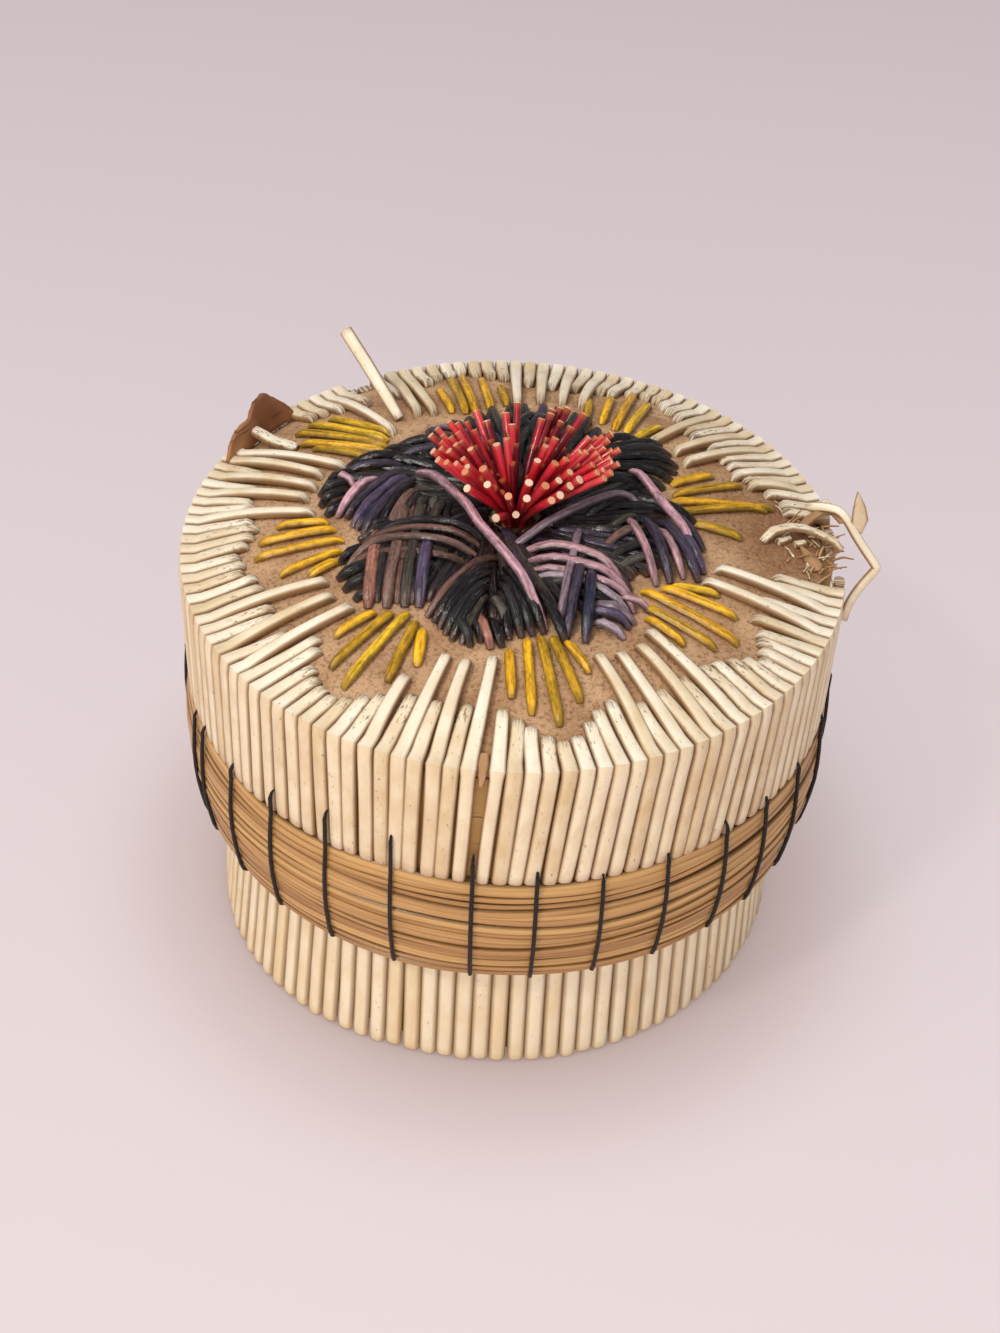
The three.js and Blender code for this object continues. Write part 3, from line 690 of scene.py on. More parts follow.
def discLike(name, node, material, body, slot):
    low, high = lowOf(node), highOf(node)
    outline = [(0, low.z), (high.x, low.z), (high.x, high.z), (0, high.z)]
    fit(turned(name, outline, material), body, slot, node)


liningThick = 0.8
neckThick = highOf("box_neck_strip").x - highOf("box_side_hoop").x - clearance
hoopLike("box_hoop", "box_side_hoop", barkThick, smoothBark, "box", "bark")
hoopLike("box_sleeve", "box_lining_sleeve", liningThick, liningBark, "box", "lining_bark")
hoopLike("box_neck", "box_neck_strip", neckThick, liningBark, "box", "lining_bark")
discLike("box_floor", "box_bottom_disc", smoothBark, "box", "bark")
discLike("box_floor_lining", "box_bottom_lining", liningBark, "box", "lining_bark")
hoopLike("lid_hoop", "lid_side_hoop", barkThick, smoothBark, "lid", "bark")
hoopLike("lid_lining", "lid_lining_hoop", liningThick, liningBark, "lid", "lining_bark")


def domedLining():
    node = "lid_lining_disc"
    low, high = lowOf(node), highOf(node)
    radius = high.x
    drop = edgeBark - (high.z - swell["rise"])  # from the bark's face down to this disc's face
    rings = [radius * share for share in (0, 0.2, 0.4, 0.6, 0.75, 0.85, 0.93, 1)]
    over = [(ring, barkAt(ring) - drop) for ring in reversed(rings)]
    under = [(ring, barkAt(ring) - drop - liningThick) for ring in rings]
    fit(turned("lid_lining_face", under + over, liningBark), "lid", "lining_bark", node)


domedLining()
print("bark hoops and linings made")

# The lid's worked bark, with the nap slightly uneven and its edge torn away where the quills are gone.
top = {"rings": 46, "steps": 200, "unevenness": 0.09, "fineUnevenness": 0.05, "ragged": 0.35, "tuftHole": 2.9}
tearDepths = (
    (0, 1.2), (6, 1.6), (10, 0.6), (14, 0.2), (20, 0), (340, 0), (346, 0.4), (352, 1.0), (360, 1.2),
)


def makeWorkedBark():
    steps, rings = top["steps"], top["rings"]
    inner = top["tuftHole"]
    verts, faces = [], []
    for side in (0, 1):
        for j in range(rings + 1):
            share = j / rings
            for k in range(steps):
                degrees = 360 * k / steps
                rough = top["ragged"] * noise.noise(Vector((k * 0.4, 0, 3))) ** 2
                rim = hoopOuter - blendOf(tearDepths, degrees) - rough
                radius = inner + (rim - inner) * share
                spot = polar(radius, degrees, 0)
                bump = (top["unevenness"] * noise.noise(spot * 0.35)
                        + top["fineUnevenness"] * noise.noise(spot * 1.1))
                height = barkAt(radius) + bump if side == 0 else barkAt(radius) - barkThick
                verts.append(polar(radius, degrees, height) * mm)
    shell = (rings + 1) * steps
    for j in range(rings):
        for k in range(steps):
            a, b = j * steps + k, j * steps + (k + 1) % steps
            faces.append((a, a + steps, b + steps, b))
            faces.append((shell + a, shell + b, shell + b + steps, shell + a + steps))
    for k in range(steps):
        b = (k + 1) % steps
        faces.append((k, b, shell + b, shell + k))
        last = rings * steps
        faces.append((last + k, shell + last + k, shell + last + b, last + b))
    fit(meshPiece("worked_bark", verts, faces, suedeBark), "lid", "bark", "lid_top_disc")


makeWorkedBark()
print("worked bark made")

# Upright quills round the box, from the floor up under the band.
boxWall = {
    "count": 104, "groups": 8, "thick": 1.5, "width": 2.46, "foot": 0.27, "lean": 0.16, "flareFrom": 20,
    "footStray": 0.25, "widths": (0.97, 1.03), "wobble": 0.04, "dirt": (0, 0, 0, 0.2),
}
# the wall leans out towards its foot, most at the left in front: (angle, how far the foot stands out)
footFlares = (
    (0, 0.8), (100, 0.8), (160, 1.0), (190, 1.3), (206, 2.2), (222, 2.4), (236, 2.1), (252, 1.1), (275, 0.8),
    (360, 0.8),
)


def makeBoxQuills():
    picks = random.Random(11)
    perGroup = boxWall["count"] // boxWall["groups"]
    radius = highOf("box_neck_strip").x - boxWall["thick"] / 2
    high = highOf("box_quills_1").z
    flareFrom, wobble = boxWall["flareFrom"], boxWall["wobble"]
    for group in range(boxWall["groups"]):
        guides = []
        for k in range(perGroup):
            degrees = 360 * (group * perGroup + k + 0.5) / boxWall["count"]
            lean = eitherWay(picks, boxWall["lean"])
            low = boxWall["foot"] + picks.uniform(0, boxWall["footStray"])
            thick, width = boxWall["thick"], boxWall["width"] * picks.uniform(*boxWall["widths"])
            heights = [high, 19, 14, 9, 5, 2, low + 0.5, low + 0.12, low]
            sizes = [1] * 6 + [0.98, 0.95, 0.85]  # rounded off at the foot
            flare = blendOf(footFlares, degrees) / flareFrom
            points = [polar(radius + flare * max(0, flareFrom - z) + eitherWay(picks, wobble),
                            degrees + lean * (1 - z / high), z) for z in heights]
            out = [polar(1, degrees, 0)] * len(points)
            dirt = picks.choice(boxWall["dirt"])
            guides.append(makeGuide(points, out, [width * s for s in sizes], [thick * s for s in sizes],
                                    picks.random(), dirt))
        piece = sweep(f"box_wall_quills_{group + 1}", guides, boxQuill, sides=10, squareness=2.0)
        fit(piece, "box", "box_quill", f"box_quills_{group + 1}")


makeBoxQuills()
print("box quills made")

# White quills folded over the lid's edge: upright on the wall, and then up the swell of the top. One wide
# gap is left in front, where bark shows between two of them.
edge = {
    "count": 128, "groups": 8, "gapAt": 264.7, "gap": 4.4, "wallThick": 1.5, "topThick": 1.2,
    "width": 2.17, "foot": 40.05, "longWidth": 1.62, "bow": 0.16, "stray": 0.12, "mostOfPitch": 0.97,
    "foldLift": 0.62, "foldLevel": 59.4, "foldThick": 1.36, "foldIn": 0.06, "foldRise": 0.84,
    "shortOfFold": 0.5, "besideGap": 0.86, "endStray": 0.3, "endLeanShare": 0.75, "innerStray": 0.35,
    "sunk": 0.15, "sunkOver": 0.75,  # where the inner end goes down into the bark
    "blunt": 0.84, "bluntOver": 0.5,  # how narrow that end is
    "footPull": 0.12, "pulledOver": 1.2,  # where the foot is drawn in to the wall
    "wallBow": 0.12, "wallLean": 0.2, "footStray": 0.25, "wallWidths": (0.97, 1.05), "proud": (-0.08, 0.05),
}
# sizes down the wall, first by level, and then by height above the foot
wallSizes = ((58.3, 0.99), (55, 0.985), (51, 0.975), (47, 0.97), (44, 0.965))
footSizes = ((1.6, 0.95), (0.6, 0.93), (0.12, 0.9), (0, 0.8))
# how dirty: the least, and what chance adds to it
dirtOf = {"long": (0.15, 0.3), "short": (0.4, 0.6), "wall": (0.08, 0.15), "foot": 0.6, "cleanerOutward": 0.75}
# how far a quill's foot stands round from its fold, and its inner end round from its fold
footLeans = (
    (0, 0), (228, -0.4), (240, 0.2), (250, -0.1), (257, -0.8), (265, -1.1), (269, -1.6), (276, -1.9),
    (284, -2.3), (300, -2), (311, -2.8), (330, -1.4), (350, 0), (360, 0),
)
endLeans = (
    (0, 0), (145, 0), (152, 3), (158, 5), (171, 4), (176, 2), (188, 1), (200, 1), (206, 4), (222, 4.4),
    (231, 2.4), (240, 1.2), (256, 0.7), (270, 0.6), (278, 0), (288, -1.2), (300, -2), (311, -2), (318, -0.6),
    (326, -1.4), (333, -5), (341, -4.4), (351, -3.6), (360, 0),
)
# where the shorter quills end, round each fan
scallops = (
    (0, 34.5), (8, 37.5), (14, 38.6), (22, 35), (30, 34), (46, 34.5), (54, 38), (62, 40.6), (70, 37),
    (78, 35.5), (90, 35.5), (98, 40), (103, 42), (109, 39.5), (115, 35.8), (126, 36), (134, 38), (141, 40),
    (150, 38), (157, 36), (170, 36), (180, 35.4), (184, 34), (188, 35.4), (191, 36.8), (197, 36.8),
    (201, 35.6), (206, 34.5), (212, 36.3), (219, 36), (223, 33.8), (228, 37.2), (232, 38.8), (237, 39.9),
    (242, 38.2), (246, 36.6), (252, 35.7), (270, 35.8), (273, 37.6), (277, 38.9), (280, 39.7), (283, 39.2),
    (286, 37.6), (288, 37), (291, 35.4), (297, 36.4), (310, 35.3), (315, 34.9), (321, 37.4), (325, 39.1),
    (330, 38), (334, 36.8), (338, 33.8), (350, 35.4), (360, 34.5),
)
# quills that run further in between two fans: (angle at the fold, inner radius, angle there)
longQuills = (
    (22, 34.9, 21), (27, 33.4, 25), (36, 28, 33), (42, 28.6, 39), (48, 27, 46), (74.5, 30.7, 73),
    (79.5, 30.5, 78.4), (85, 29.6, 84.3), (90.5, 29, 90.8), (113, 27.6, 116.3), (117.5, 28.6, 120.6),
    (130, 26, 133), (155.5, 25.6, 157.5), (158.3, 28, 163), (164, 27.8, 169), (169.6, 28.3, 174.2),
    (178, 27, 181.4), (206, 28, 211.8), (214.4, 28.7, 217.5), (220, 28.1, 224.3), (248.1, 33.5, 248.3),
    (253.7, 28.9, 254.8), (259.3, 29, 259.9), (264.9, 28, 266.1), (294, 28.7, 292.5), (299.6, 29.2, 298),
    (305.3, 29.1, 303.8), (310.9, 27.7, 308.8), (340, 27.3, 336), (346, 28, 343),
)
lostFolds = ((-8.5, 12), (120.6, 125.2), (141.5, 153.3))  # angles between which the folds have broken away
lostWalls = ((-3, 6),)


def within(degrees, ranges):
    return any(low <= degrees <= high or low <= degrees - 360 <= high for low, high in ranges)


def innerEnd(degrees, picks):
    pitch = 360 / edge["count"]
    for foldDegrees, radius, innerDegrees in longQuills:
        if apart(degrees, foldDegrees) < pitch / 2:
            return radius, innerDegrees, True
    radius = blendOf(scallops, degrees) + eitherWay(picks, edge["innerStray"])
    lean = blendOf(endLeans, degrees) * edge["endLeanShare"]
    return radius, degrees + lean + eitherWay(picks, edge["endStray"]), False


# the two lengths of quill on the top: how far they arch up, how high they lie, and where they get points
longStretch = {"arch": (0.1, 0.35), "lift": 0.75,
               "shares": (0, 0.02, 0.05, 0.1, 0.2, 0.34, 0.5, 0.66, 0.83, 1)}
shortStretch = {"arch": (-0.15, 0.1), "lift": 0.5, "shares": (0, 0.04, 0.1, 0.2, 0.4, 0.62, 0.82, 1)}


def topStretch(inner, innerDegrees, degrees, isLong, picks):
    # from the end in the bark to just short of the fold
    outer = hoopOuter - edge["shortOfFold"]
    stretch = longStretch if isLong else shortStretch
    arch = picks.uniform(*stretch["arch"])
    lift = stretch["lift"]
    bow = eitherWay(picks, edge["bow"])
    rows = []
    for share in stretch["shares"]:
        radius = inner + (outer - inner) * share
        angle = innerDegrees + (degrees - innerDegrees) * share
        angle += bow * math.sin(math.pi * share) / radius * 57  # a bow in millimetres, turned into degrees
        fromEnd = share * (outer - inner)
        sink = (lift + edge["sunk"]) * max(0, 1 - fromEnd / edge["sunkOver"]) ** 2
        near = share * share
        height = lift * (1 - near) + edge["foldLift"] * near + arch * math.sin(math.pi * share) - sink
        spacing = radius * math.radians(360 / edge["count"])
        width = min(edge["width"], spacing * edge["mostOfPitch"])
        if isLong:
            width = max(width, edge["longWidth"] - 0.15 * (1 - share))
        blunt = min(1, edge["blunt"] + (1 - edge["blunt"]) * fromEnd / edge["bluntOver"])
        spot = polar(radius, angle, barkAt(radius) + height)
        rows.append((spot, up, width * blunt, edge["topThick"] * blunt))
    return rows


def wallStretch(degrees, radius, picks):
    lean = blendOf(footLeans, degrees) + eitherWay(picks, edge["wallLean"])
    bow = eitherWay(picks, edge["wallBow"])
    foot = edge["foot"] + picks.uniform(0, edge["footStray"])
    width = edge["width"] * picks.uniform(*edge["wallWidths"])
    if apart(degrees, edge["gapAt"] + edge["gap"] / 2) < edge["gap"] * 0.6:  # the two beside the gap
        width *= edge["besideGap"]
    thick = edge["wallThick"]
    proud = picks.uniform(*edge["proud"])
    rows = []
    for z, size in wallSizes + tuple((foot + rise, size) for rise, size in footSizes):
        share = (edge["foldLevel"] - z) / (edge["foldLevel"] - foot)
        pull = edge["footPull"] * max(0, 1 - (z - foot) / edge["pulledOver"])
        angle = degrees + lean * share + bow * math.sin(math.pi * share)
        spot = polar(radius - pull + proud * min(1, share * 6), angle, z)
        rows.append((spot, polar(1, angle, 0), width * size, thick * size))
    return rows


def makeEdgeQuills():
    picks = random.Random(7)
    count = edge["count"]
    pitch = (360 - edge["gap"]) / (count - 1)
    radius = hoopOuter + clearance + edge["wallThick"] / 2
    grouped = [[] for _ in range(edge["groups"])]
    for k in range(count):
        degrees = (edge["gapAt"] + edge["gap"] + k * pitch) % 360
        inner, innerDegrees, isLong = innerEnd(degrees, picks)
        degrees += eitherWay(picks, edge["stray"])
        topRows = topStretch(inner, innerDegrees, degrees, isLong, picks)
        wallRows = wallStretch(degrees, radius, picks)
        tone, dirty = picks.random(), picks.random()
        lostFold, lostWall = within(degrees, lostFolds), within(degrees, lostWalls)
        rows = [] if lostFold else topRows
        if not lostFold and not lostWall:
            corner = polar(radius - edge["foldIn"], degrees, edgeBark + edge["foldRise"])
            out = (polar(1, degrees, 0) + up).normalized()
            rows = rows + [(corner, out, edge["width"], edge["topThick"] * edge["foldThick"])]
        if not lostWall:
            rows = rows + wallRows
        if not rows:
            continue
        topCount = 0 if lostFold else len(topRows)
        heavy, light = (least + more * dirty
                        for least, more in (dirtOf["long" if isLong else "short"], dirtOf["wall"]))
        dirt = [heavy * (1 - dirtOf["cleanerOutward"] * j / max(1, topCount)) if j < topCount else light
                for j in range(len(rows))]
        dirt[-3:] = [dirtOf["foot"] * dirty] * 3
        points, out, widths, thicks = (list(column) for column in zip(*rows))
        group = int(degrees % 360 // (360 / edge["groups"]))
        grouped[group].append(makeGuide(points, out, widths, thicks, tone, dirt))
    for group, guides in enumerate(grouped):
        piece = sweep(f"folded_quills_{group + 1}", guides, whiteQuill, sides=12, squareness=2.9)
        fit(piece, "lid", "edge_quill", f"lid_edge_quills_{group + 1}")


makeEdgeQuills()
print("folded quills made")

# Eight yellow fans of about five quills. Each quill is (inner radius, angle, outer radius, angle).
fans = (
    ((23.4, 24, 30.2, 26), (22.6, 18, 33.4, 21), (21.7, 14, 35.1, 12), (21.8, 7, 36.3, 13),
     (24.1, 2, 30.4, 359)),
    ((26.9, 69, 32.9, 72), (27, 64, 36, 68), (26.5, 59, 40, 65), (26.6, 55, 38, 60), (26.5, 51, 32.4, 51)),
    ((27, 111, 35, 110), (26.2, 107, 39.5, 105.6), (25.5, 104, 40, 103), (26.4, 99, 38, 99),
     (28, 94, 34.5, 95)),
    ((26.1, 134, 36.5, 138), (25.1, 137, 38, 142), (23.8, 140, 38, 146), (23.1, 143, 35.1, 150),
     (22.6, 148, 32.6, 151)),
    ((25, 186, 31.6, 185), (24.1, 190, 34, 190), (23.3, 196, 34.9, 195), (24, 201, 32.6, 203),
     (25, 205, 29.3, 207)),
    ((26.6, 230, 32.5, 228), (25.4, 234, 36.4, 233), (24.3, 238, 37.9, 238), (25, 242, 34.8, 245),
     (25.8, 245, 31.3, 249)),
    ((26.4, 270, 33.6, 271), (24.6, 275, 36, 275), (24.2, 279, 37.6, 280), (24.4, 282.5, 34.7, 285),
     (25.4, 286, 30.7, 289)),
    ((24.2, 328, 29.7, 334), (23.5, 326, 33.3, 330), (21.9, 320, 35.7, 324), (24.2, 315, 34.4, 319),
     (25.7, 312, 31.6, 314)),
)
fan = {"width": 1.36, "thick": 1.0, "lift": 0.12, "blunt": 0.72,
       "dyes": ("#EAB010", "#DFA50A", "#E2B41C", "#C0920E")}


# A quill laid over the bark whose two ends go down into it: the longest way down as a share of the quill,
# the lengths over which its ends narrow, and how high its middle line lies by its thickness.
laid = {"step": 1.6, "longestDive": 0.46, "taperIn": 0.9, "taperOut": 1.6, "sunk": 0.1, "raised": 0.45,
        "extraIn": 0.3, "extraOut": (0.35, 0.12)}  # points within the two dives, as shares of them


def smoothPath(points, step=math.inf):
    # a smooth line through the points, with at least two more between any two of them
    path = []
    for k in range(len(points) - 1):
        before, here = points[max(k - 1, 0)], points[k]
        there, after = points[k + 1], points[min(k + 2, len(points) - 1)]
        count = max(3, round((there - here).length / step))
        for t in (j / count for j in range(count)):
            path.append(0.5 * ((2 * here) + (there - before) * t
                               + (2 * before - 5 * here + 4 * there - after) * t * t
                               + (3 * here - before - 3 * there + after) * t ** 3))
    return path + [points[-1]]


def diveGuide(route, lift, width, thick, tone, dye, dive=1.2, bluntInner=0.6, bluntOuter=0.25):
    # route is a list of (radius, degrees), and dive is how long the two ends take to go down
    smooth = smoothPath([polar(radius, degrees, 0) for radius, degrees in route], laid["step"])
    lengths = [0]
    for a, b in zip(smooth, smooth[1:]):
        lengths.append(lengths[-1] + (b - a).length)
    whole = lengths[-1]
    dive = min(dive, whole * laid["longestDive"])
    extra = [dive * laid["extraIn"]] + [whole - dive * share for share in laid["extraOut"]]
    stations = sorted(set(lengths + extra))
    points, widths, thicks = [], [], []
    for station in stations:
        k = max(j for j in range(len(lengths)) if lengths[j] <= station)
        nextK = min(k + 1, len(lengths) - 1)
        span = max(lengths[nextK] - lengths[k], 1e-6)
        spot = smooth[k].lerp(smooth[nextK], min(1, (station - lengths[k]) / span))
        fromEnd = min(station, whole - station)
        rise = math.sin(min(1, fromEnd / dive) * math.pi / 2)
        height = barkAt(spot.length) + thick * laid["sunk"] + (lift + thick * laid["raised"]) * rise
        taperIn = min(1, bluntInner + (1 - bluntInner) * station / laid["taperIn"])
        taperOut = min(1, bluntOuter + (1 - bluntOuter) * (whole - station) / laid["taperOut"])
        points.append(Vector((spot.x, spot.y, height)))
        widths.append(width * min(taperIn, taperOut))
        thicks.append(thick * min(1, min(taperIn, taperOut) + 0.15))
    return makeGuide(points, up, widths, thicks, tone, dye=dye)


def makeFans():
    picks = random.Random(23)
    for k, quills in enumerate(fans):
        guides = []
        for innerRadius, innerDegrees, outerRadius, outerDegrees in quills:
            start, end = polar(innerRadius, innerDegrees, 0), polar(outerRadius, outerDegrees, 0)
            spots = [start.lerp(end, share) for share in (0, 0.35, 0.7, 1)]
            route = [(spot.length, directionOf(spot)) for spot in spots]
            width = fan["width"] * picks.uniform(0.92, 1.1)
            guides.append(diveGuide(route, fan["lift"], width, fan["thick"], picks.random(),
                                    picks.choice(fan["dyes"]), bluntOuter=fan["blunt"]))
        piece = sweep(f"yellow_quills_{k + 1}", guides, yellowQuill, squareness=2.0)
        fit(piece, "lid", "yellow_quill", f"yellow_fan_{k + 1}")


makeFans()
print("yellow fans made")

# Dyes of the flower's quills.
dyes = {
    "black": "#151417", "charcoal": "#282628", "olive": "#3E3A31", "brown": "#64453A", "taupe": "#765A50",
    "salmon": "#A06C5A", "purple": "#3A3244", "violet": "#52455F", "navy": "#272B40", "mauve": "#887480",
    "pink": "#C79AA6", "rose": "#AE858C", "pale": "#AD9CA8", "grey": "#55514B",
}
# Each quill is (dye, layer, width, then the radius and degrees of each point on its way), sorted by the
# piece it belongs to.
flower = {
    "flower_lobe_1": (
        ("black", 3, 1.3, 11, 64, 18, 60, 26.5, 50), ("black", 2, 1.4, 12, 62, 20, 54, 28, 44),
        ("charcoal", 3, 1.3, 12, 60, 20, 51, 27.5, 39), ("black", 3, 1.4, 12, 58, 20, 47, 26.5, 33),
        ("black", 2, 1.3, 12, 55, 19, 44, 25.5, 30), ("black", 3, 1.4, 12, 51, 18, 41, 24, 26),
        ("charcoal", 2, 1.4, 12, 46, 17, 36, 22, 23), ("black", 2, 1.3, 12, 40, 17, 32, 20.5, 22),
    ),
    "flower_lobe_2": (
        ("black", 2, 1.5, 10, 74, 17, 76, 24, 77), ("black", 2, 1.5, 10, 90, 17, 88, 24.5, 88),
        ("charcoal", 3, 1.4, 11, 96, 18, 86, 25, 81), ("black", 3, 1.4, 12, 66, 18, 80, 24, 93),
        ("black", 3, 1.4, 14, 100, 19, 90, 25, 84), ("black", 2, 1.5, 9, 82, 17, 82, 25, 84),
        ("black", 2, 1.5, 10, 66, 17, 69, 23, 70), ("charcoal", 2, 1.5, 10, 98, 17, 96, 23, 95),
    ),
    "flower_lobe_3": (
        ("mauve", 2, 1.2, 16, 104, 21, 113, 23.5, 123), ("charcoal", 3, 1.4, 15, 106, 22, 118, 22.5, 141),
        ("purple", 3, 1.4, 14, 112, 19.5, 123, 20.5, 146), ("black", 3, 1.4, 13, 118, 17.5, 130, 18.5, 150),
        ("black", 2, 1.5, 12, 112, 18, 114, 24, 114), ("purple", 2, 1.5, 12, 124, 18, 124, 23.5, 123),
        ("black", 2, 1.5, 12, 132, 18, 131, 22, 131),
    ),
    "flower_lobe_4": (
        ("black", 2, 1.6, 12, 138, 24.5, 150), ("charcoal", 1, 1.6, 12, 145, 25, 156),
        ("black", 2, 1.6, 13, 131, 23.5, 142), ("charcoal", 2, 1.5, 14, 150, 25.6, 168),
        ("black", 3, 1.4, 18, 142, 22, 152, 25.5, 157), ("purple", 3, 1.3, 17, 147, 21.5, 157, 25.5, 162),
        ("black", 2, 1.5, 23, 160, 26.5, 167), ("charcoal", 2, 1.5, 23, 166, 26.7, 172),
        ("black", 2, 1.6, 22.5, 171, 26.2, 177), ("black", 1, 1.5, 22, 176, 25.2, 182),
        ("pink", 3, 1.2, 25.5, 164, 22, 169), ("pink", 4, 1.25, 19, 160, 21.5, 169, 23.7, 183),
        ("purple", 3, 1.4, 17, 149, 19.5, 168, 22.5, 184), ("violet", 3, 1.5, 16, 152, 18, 171, 21.7, 189),
        ("navy", 2, 1.4, 15.5, 152, 17.5, 173, 21.2, 191), ("purple", 3, 1.5, 15, 152, 17, 175, 20.5, 194),
        ("black", 3, 1.4, 14.6, 155, 16.4, 175, 18.5, 193),
        ("taupe", 3, 1.4, 13.8, 160, 15.5, 178, 17.5, 197),
        ("charcoal", 3, 1.3, 13, 163, 14.4, 180, 15.6, 196), ("olive", 3, 1.4, 12.3, 168, 13.5, 195),
        ("grey", 3, 1.4, 11, 167, 11.5, 196), ("black", 2, 1.4, 9.4, 165, 9.6, 200),
    ),
    "flower_lobe_5": (
        ("salmon", 3, 1.75, 18.5, 195, 22, 213, 26.5, 227), ("charcoal", 2, 1.4, 16.5, 190, 20, 213, 25, 227),
        ("taupe", 3, 1.75, 14.5, 175, 17.5, 210, 25, 231), ("brown", 2, 1.4, 13.5, 172, 17, 212, 23.5, 232),
        ("olive", 3, 1.7, 12.5, 171, 16.5, 215, 23.5, 235),
        ("black", 2, 1.4, 11.5, 168, 15.5, 216, 22.5, 236),
        ("violet", 4, 1.7, 12.8, 210, 16.4, 226, 22.5, 239),
        ("olive", 3, 1.5, 9.5, 168, 10.3, 185, 12.6, 206), ("black", 2, 1.7, 21, 216, 26.4, 212),
        ("black", 2, 1.7, 21, 222, 26.8, 217), ("charcoal", 1, 1.6, 22, 226, 26.8, 222),
        ("black", 2, 1.4, 20, 205, 25, 206), ("olive", 2, 1.4, 12, 232, 16, 216, 21, 208),
        ("charcoal", 2, 1.4, 15, 236, 18, 224, 22, 215),
    ),
    "flower_lobe_6": (
        ("brown", 4, 1.3, 9.5, 260, 16, 249, 23.5, 243.5), ("black", 4, 1.4, 11, 260, 17, 251, 24, 246.5),
        ("black", 4, 1.4, 12.4, 260, 18.2, 253, 24.6, 249),
        ("charcoal", 3, 1.4, 13.8, 260, 19.4, 255, 25.3, 251.5),
        ("black", 3, 1.4, 15.2, 260, 20.4, 257, 26, 254), ("olive", 2, 1.3, 17, 260, 21.5, 259, 26.2, 257),
        ("black", 4, 1.4, 11.5, 262, 17, 273, 23.5, 280.5), ("black", 3, 1.4, 13, 263, 18, 271, 23.8, 277),
        ("charcoal", 3, 1.4, 14.5, 264, 19, 269.5, 24, 273.5),
        ("black", 2, 1.4, 16, 264, 20, 267.5, 24.5, 270), ("salmon", 2, 1.5, 21.3, 258, 26.2, 265),
        ("grey", 3, 1.4, 18.3, 262, 22.8, 269), ("charcoal", 2, 1.5, 22.8, 253, 26.3, 259.5),
        ("black", 1, 1.5, 21.5, 263, 25.8, 268), ("black", 2, 1.4, 20.5, 256, 25.4, 262),
    ),
    "flower_lobe_7": (
        ("mauve", 4, 1.2, 9, 345, 12.6, 314, 16.5, 297, 22.5, 286),
        ("purple", 4, 1.4, 12.8, 316, 17.8, 298, 24.6, 287),
        ("navy", 4, 1.5, 14.5, 315, 19.6, 300, 26, 291.5), ("charcoal", 3, 1.4, 11, 330, 14.8, 308, 20, 294),
        ("mauve", 2, 1.4, 20.5, 299, 25.5, 308), ("pale", 1, 1.3, 23.3, 297, 27, 302),
        ("violet", 3, 1.4, 22, 296, 25.8, 305.5), ("black", 2, 1.4, 17, 286, 20, 298, 22.5, 308),
        ("olive", 2, 1.4, 15, 284, 17, 300, 19.5, 312), ("rose", 2, 1.2, 21, 309, 25, 315),
        ("black", 2, 1.5, 15, 280, 20, 284, 25.5, 286),
    ),
    "flower_lobe_8": (
        ("rose", 4, 1.2, 14.5, 3, 17.5, 339, 22.5, 326), ("purple", 4, 1.5, 16.5, 3, 19.5, 343, 23.7, 330),
        ("rose", 4, 1.1, 18.5, 356, 21, 343, 24.6, 334.5), ("purple", 3, 1.5, 19, 2, 22.5, 346, 26.5, 336),
        ("violet", 3, 1.4, 20.8, 357, 23.8, 347, 26.6, 340), ("charcoal", 3, 1.4, 9, 352, 11.4, 6, 14.5, 13),
        ("olive", 3, 1.3, 12.2, 335, 14.7, 353, 17, 4), ("taupe", 3, 1.3, 13.3, 326, 15.5, 344, 18, 355),
        ("charcoal", 3, 1.3, 15, 321, 17.5, 335, 20, 345), ("grey", 2, 1.4, 17, 319, 19.2, 331, 21, 339),
        ("black", 2, 1.5, 9, 340, 15, 344, 21, 348), ("black", 3, 1.4, 14, 18, 19, 10, 24.5, 2),
        ("purple", 3, 1.4, 18, 12, 22, 2, 25.5, 350), ("black", 2, 1.5, 10, 10, 16, 8, 22, 6),
    ),
    "brown_arc_quills": (
        ("charcoal", 4, 1.2, 8, 247, 8, 231, 11, 206, 16, 201, 21.5, 203),
        ("brown", 4, 1.15, 9.4, 249, 9.4, 235, 12.8, 210, 18, 204.5, 23.8, 207),
        ("taupe", 4, 1.2, 11, 250, 11.5, 238, 15.3, 214, 20.5, 208, 25, 210),
        ("brown", 3, 1.15, 13, 249, 14, 236, 17.4, 218, 21.5, 211.5, 25.7, 212.5),
    ),
    "pink_arc_quills": (
        ("rose", 4, 1.3, 8.5, 273, 10, 299, 13, 312, 16.7, 316, 21, 315),
        ("rose", 4, 1.3, 10.6, 275, 13.6, 300, 18.6, 312, 22.6, 313.5),
        ("rose", 3, 1.2, 12.2, 277, 16, 302, 21, 311, 24, 311),
        ("pale", 3, 1.1, 13.5, 279, 18.3, 303, 24.6, 308.5),
        ("mauve", 5, 1.25, 8, 264, 6.6, 300, 8.5, 353, 12.5, 8, 15.5, 11, 18, 4),
        ("pink", 4, 1.35, 18.5, 39, 18.5, 26, 19.5, 7, 23, 350, 25, 342),
    ),
    "long_pink_quill": (
        ("pink", 6, 1.4, 16.5, 149, 10.5, 166, 7, 205, 8.2, 236, 11.5, 261, 15, 271, 23, 281),
    ),
}
flowerNames = {"brown_arc_quills": "brown_arcs", "pink_arc_quills": "pink_arcs",
               "long_pink_quill": "long_pink"}
flowerSlots = {"pink_arc_quills": "pink_quill", "long_pink_quill": "pink_quill"}
layerLifts = (0.0, 0.6, 1.1, 1.6, 2.2, 2.8, 3.3)
flowerThick = 1.2
flowerBlunt = 0.65
flowerStraight = 0.9  # how far the lobes' quills are drawn towards straight lines
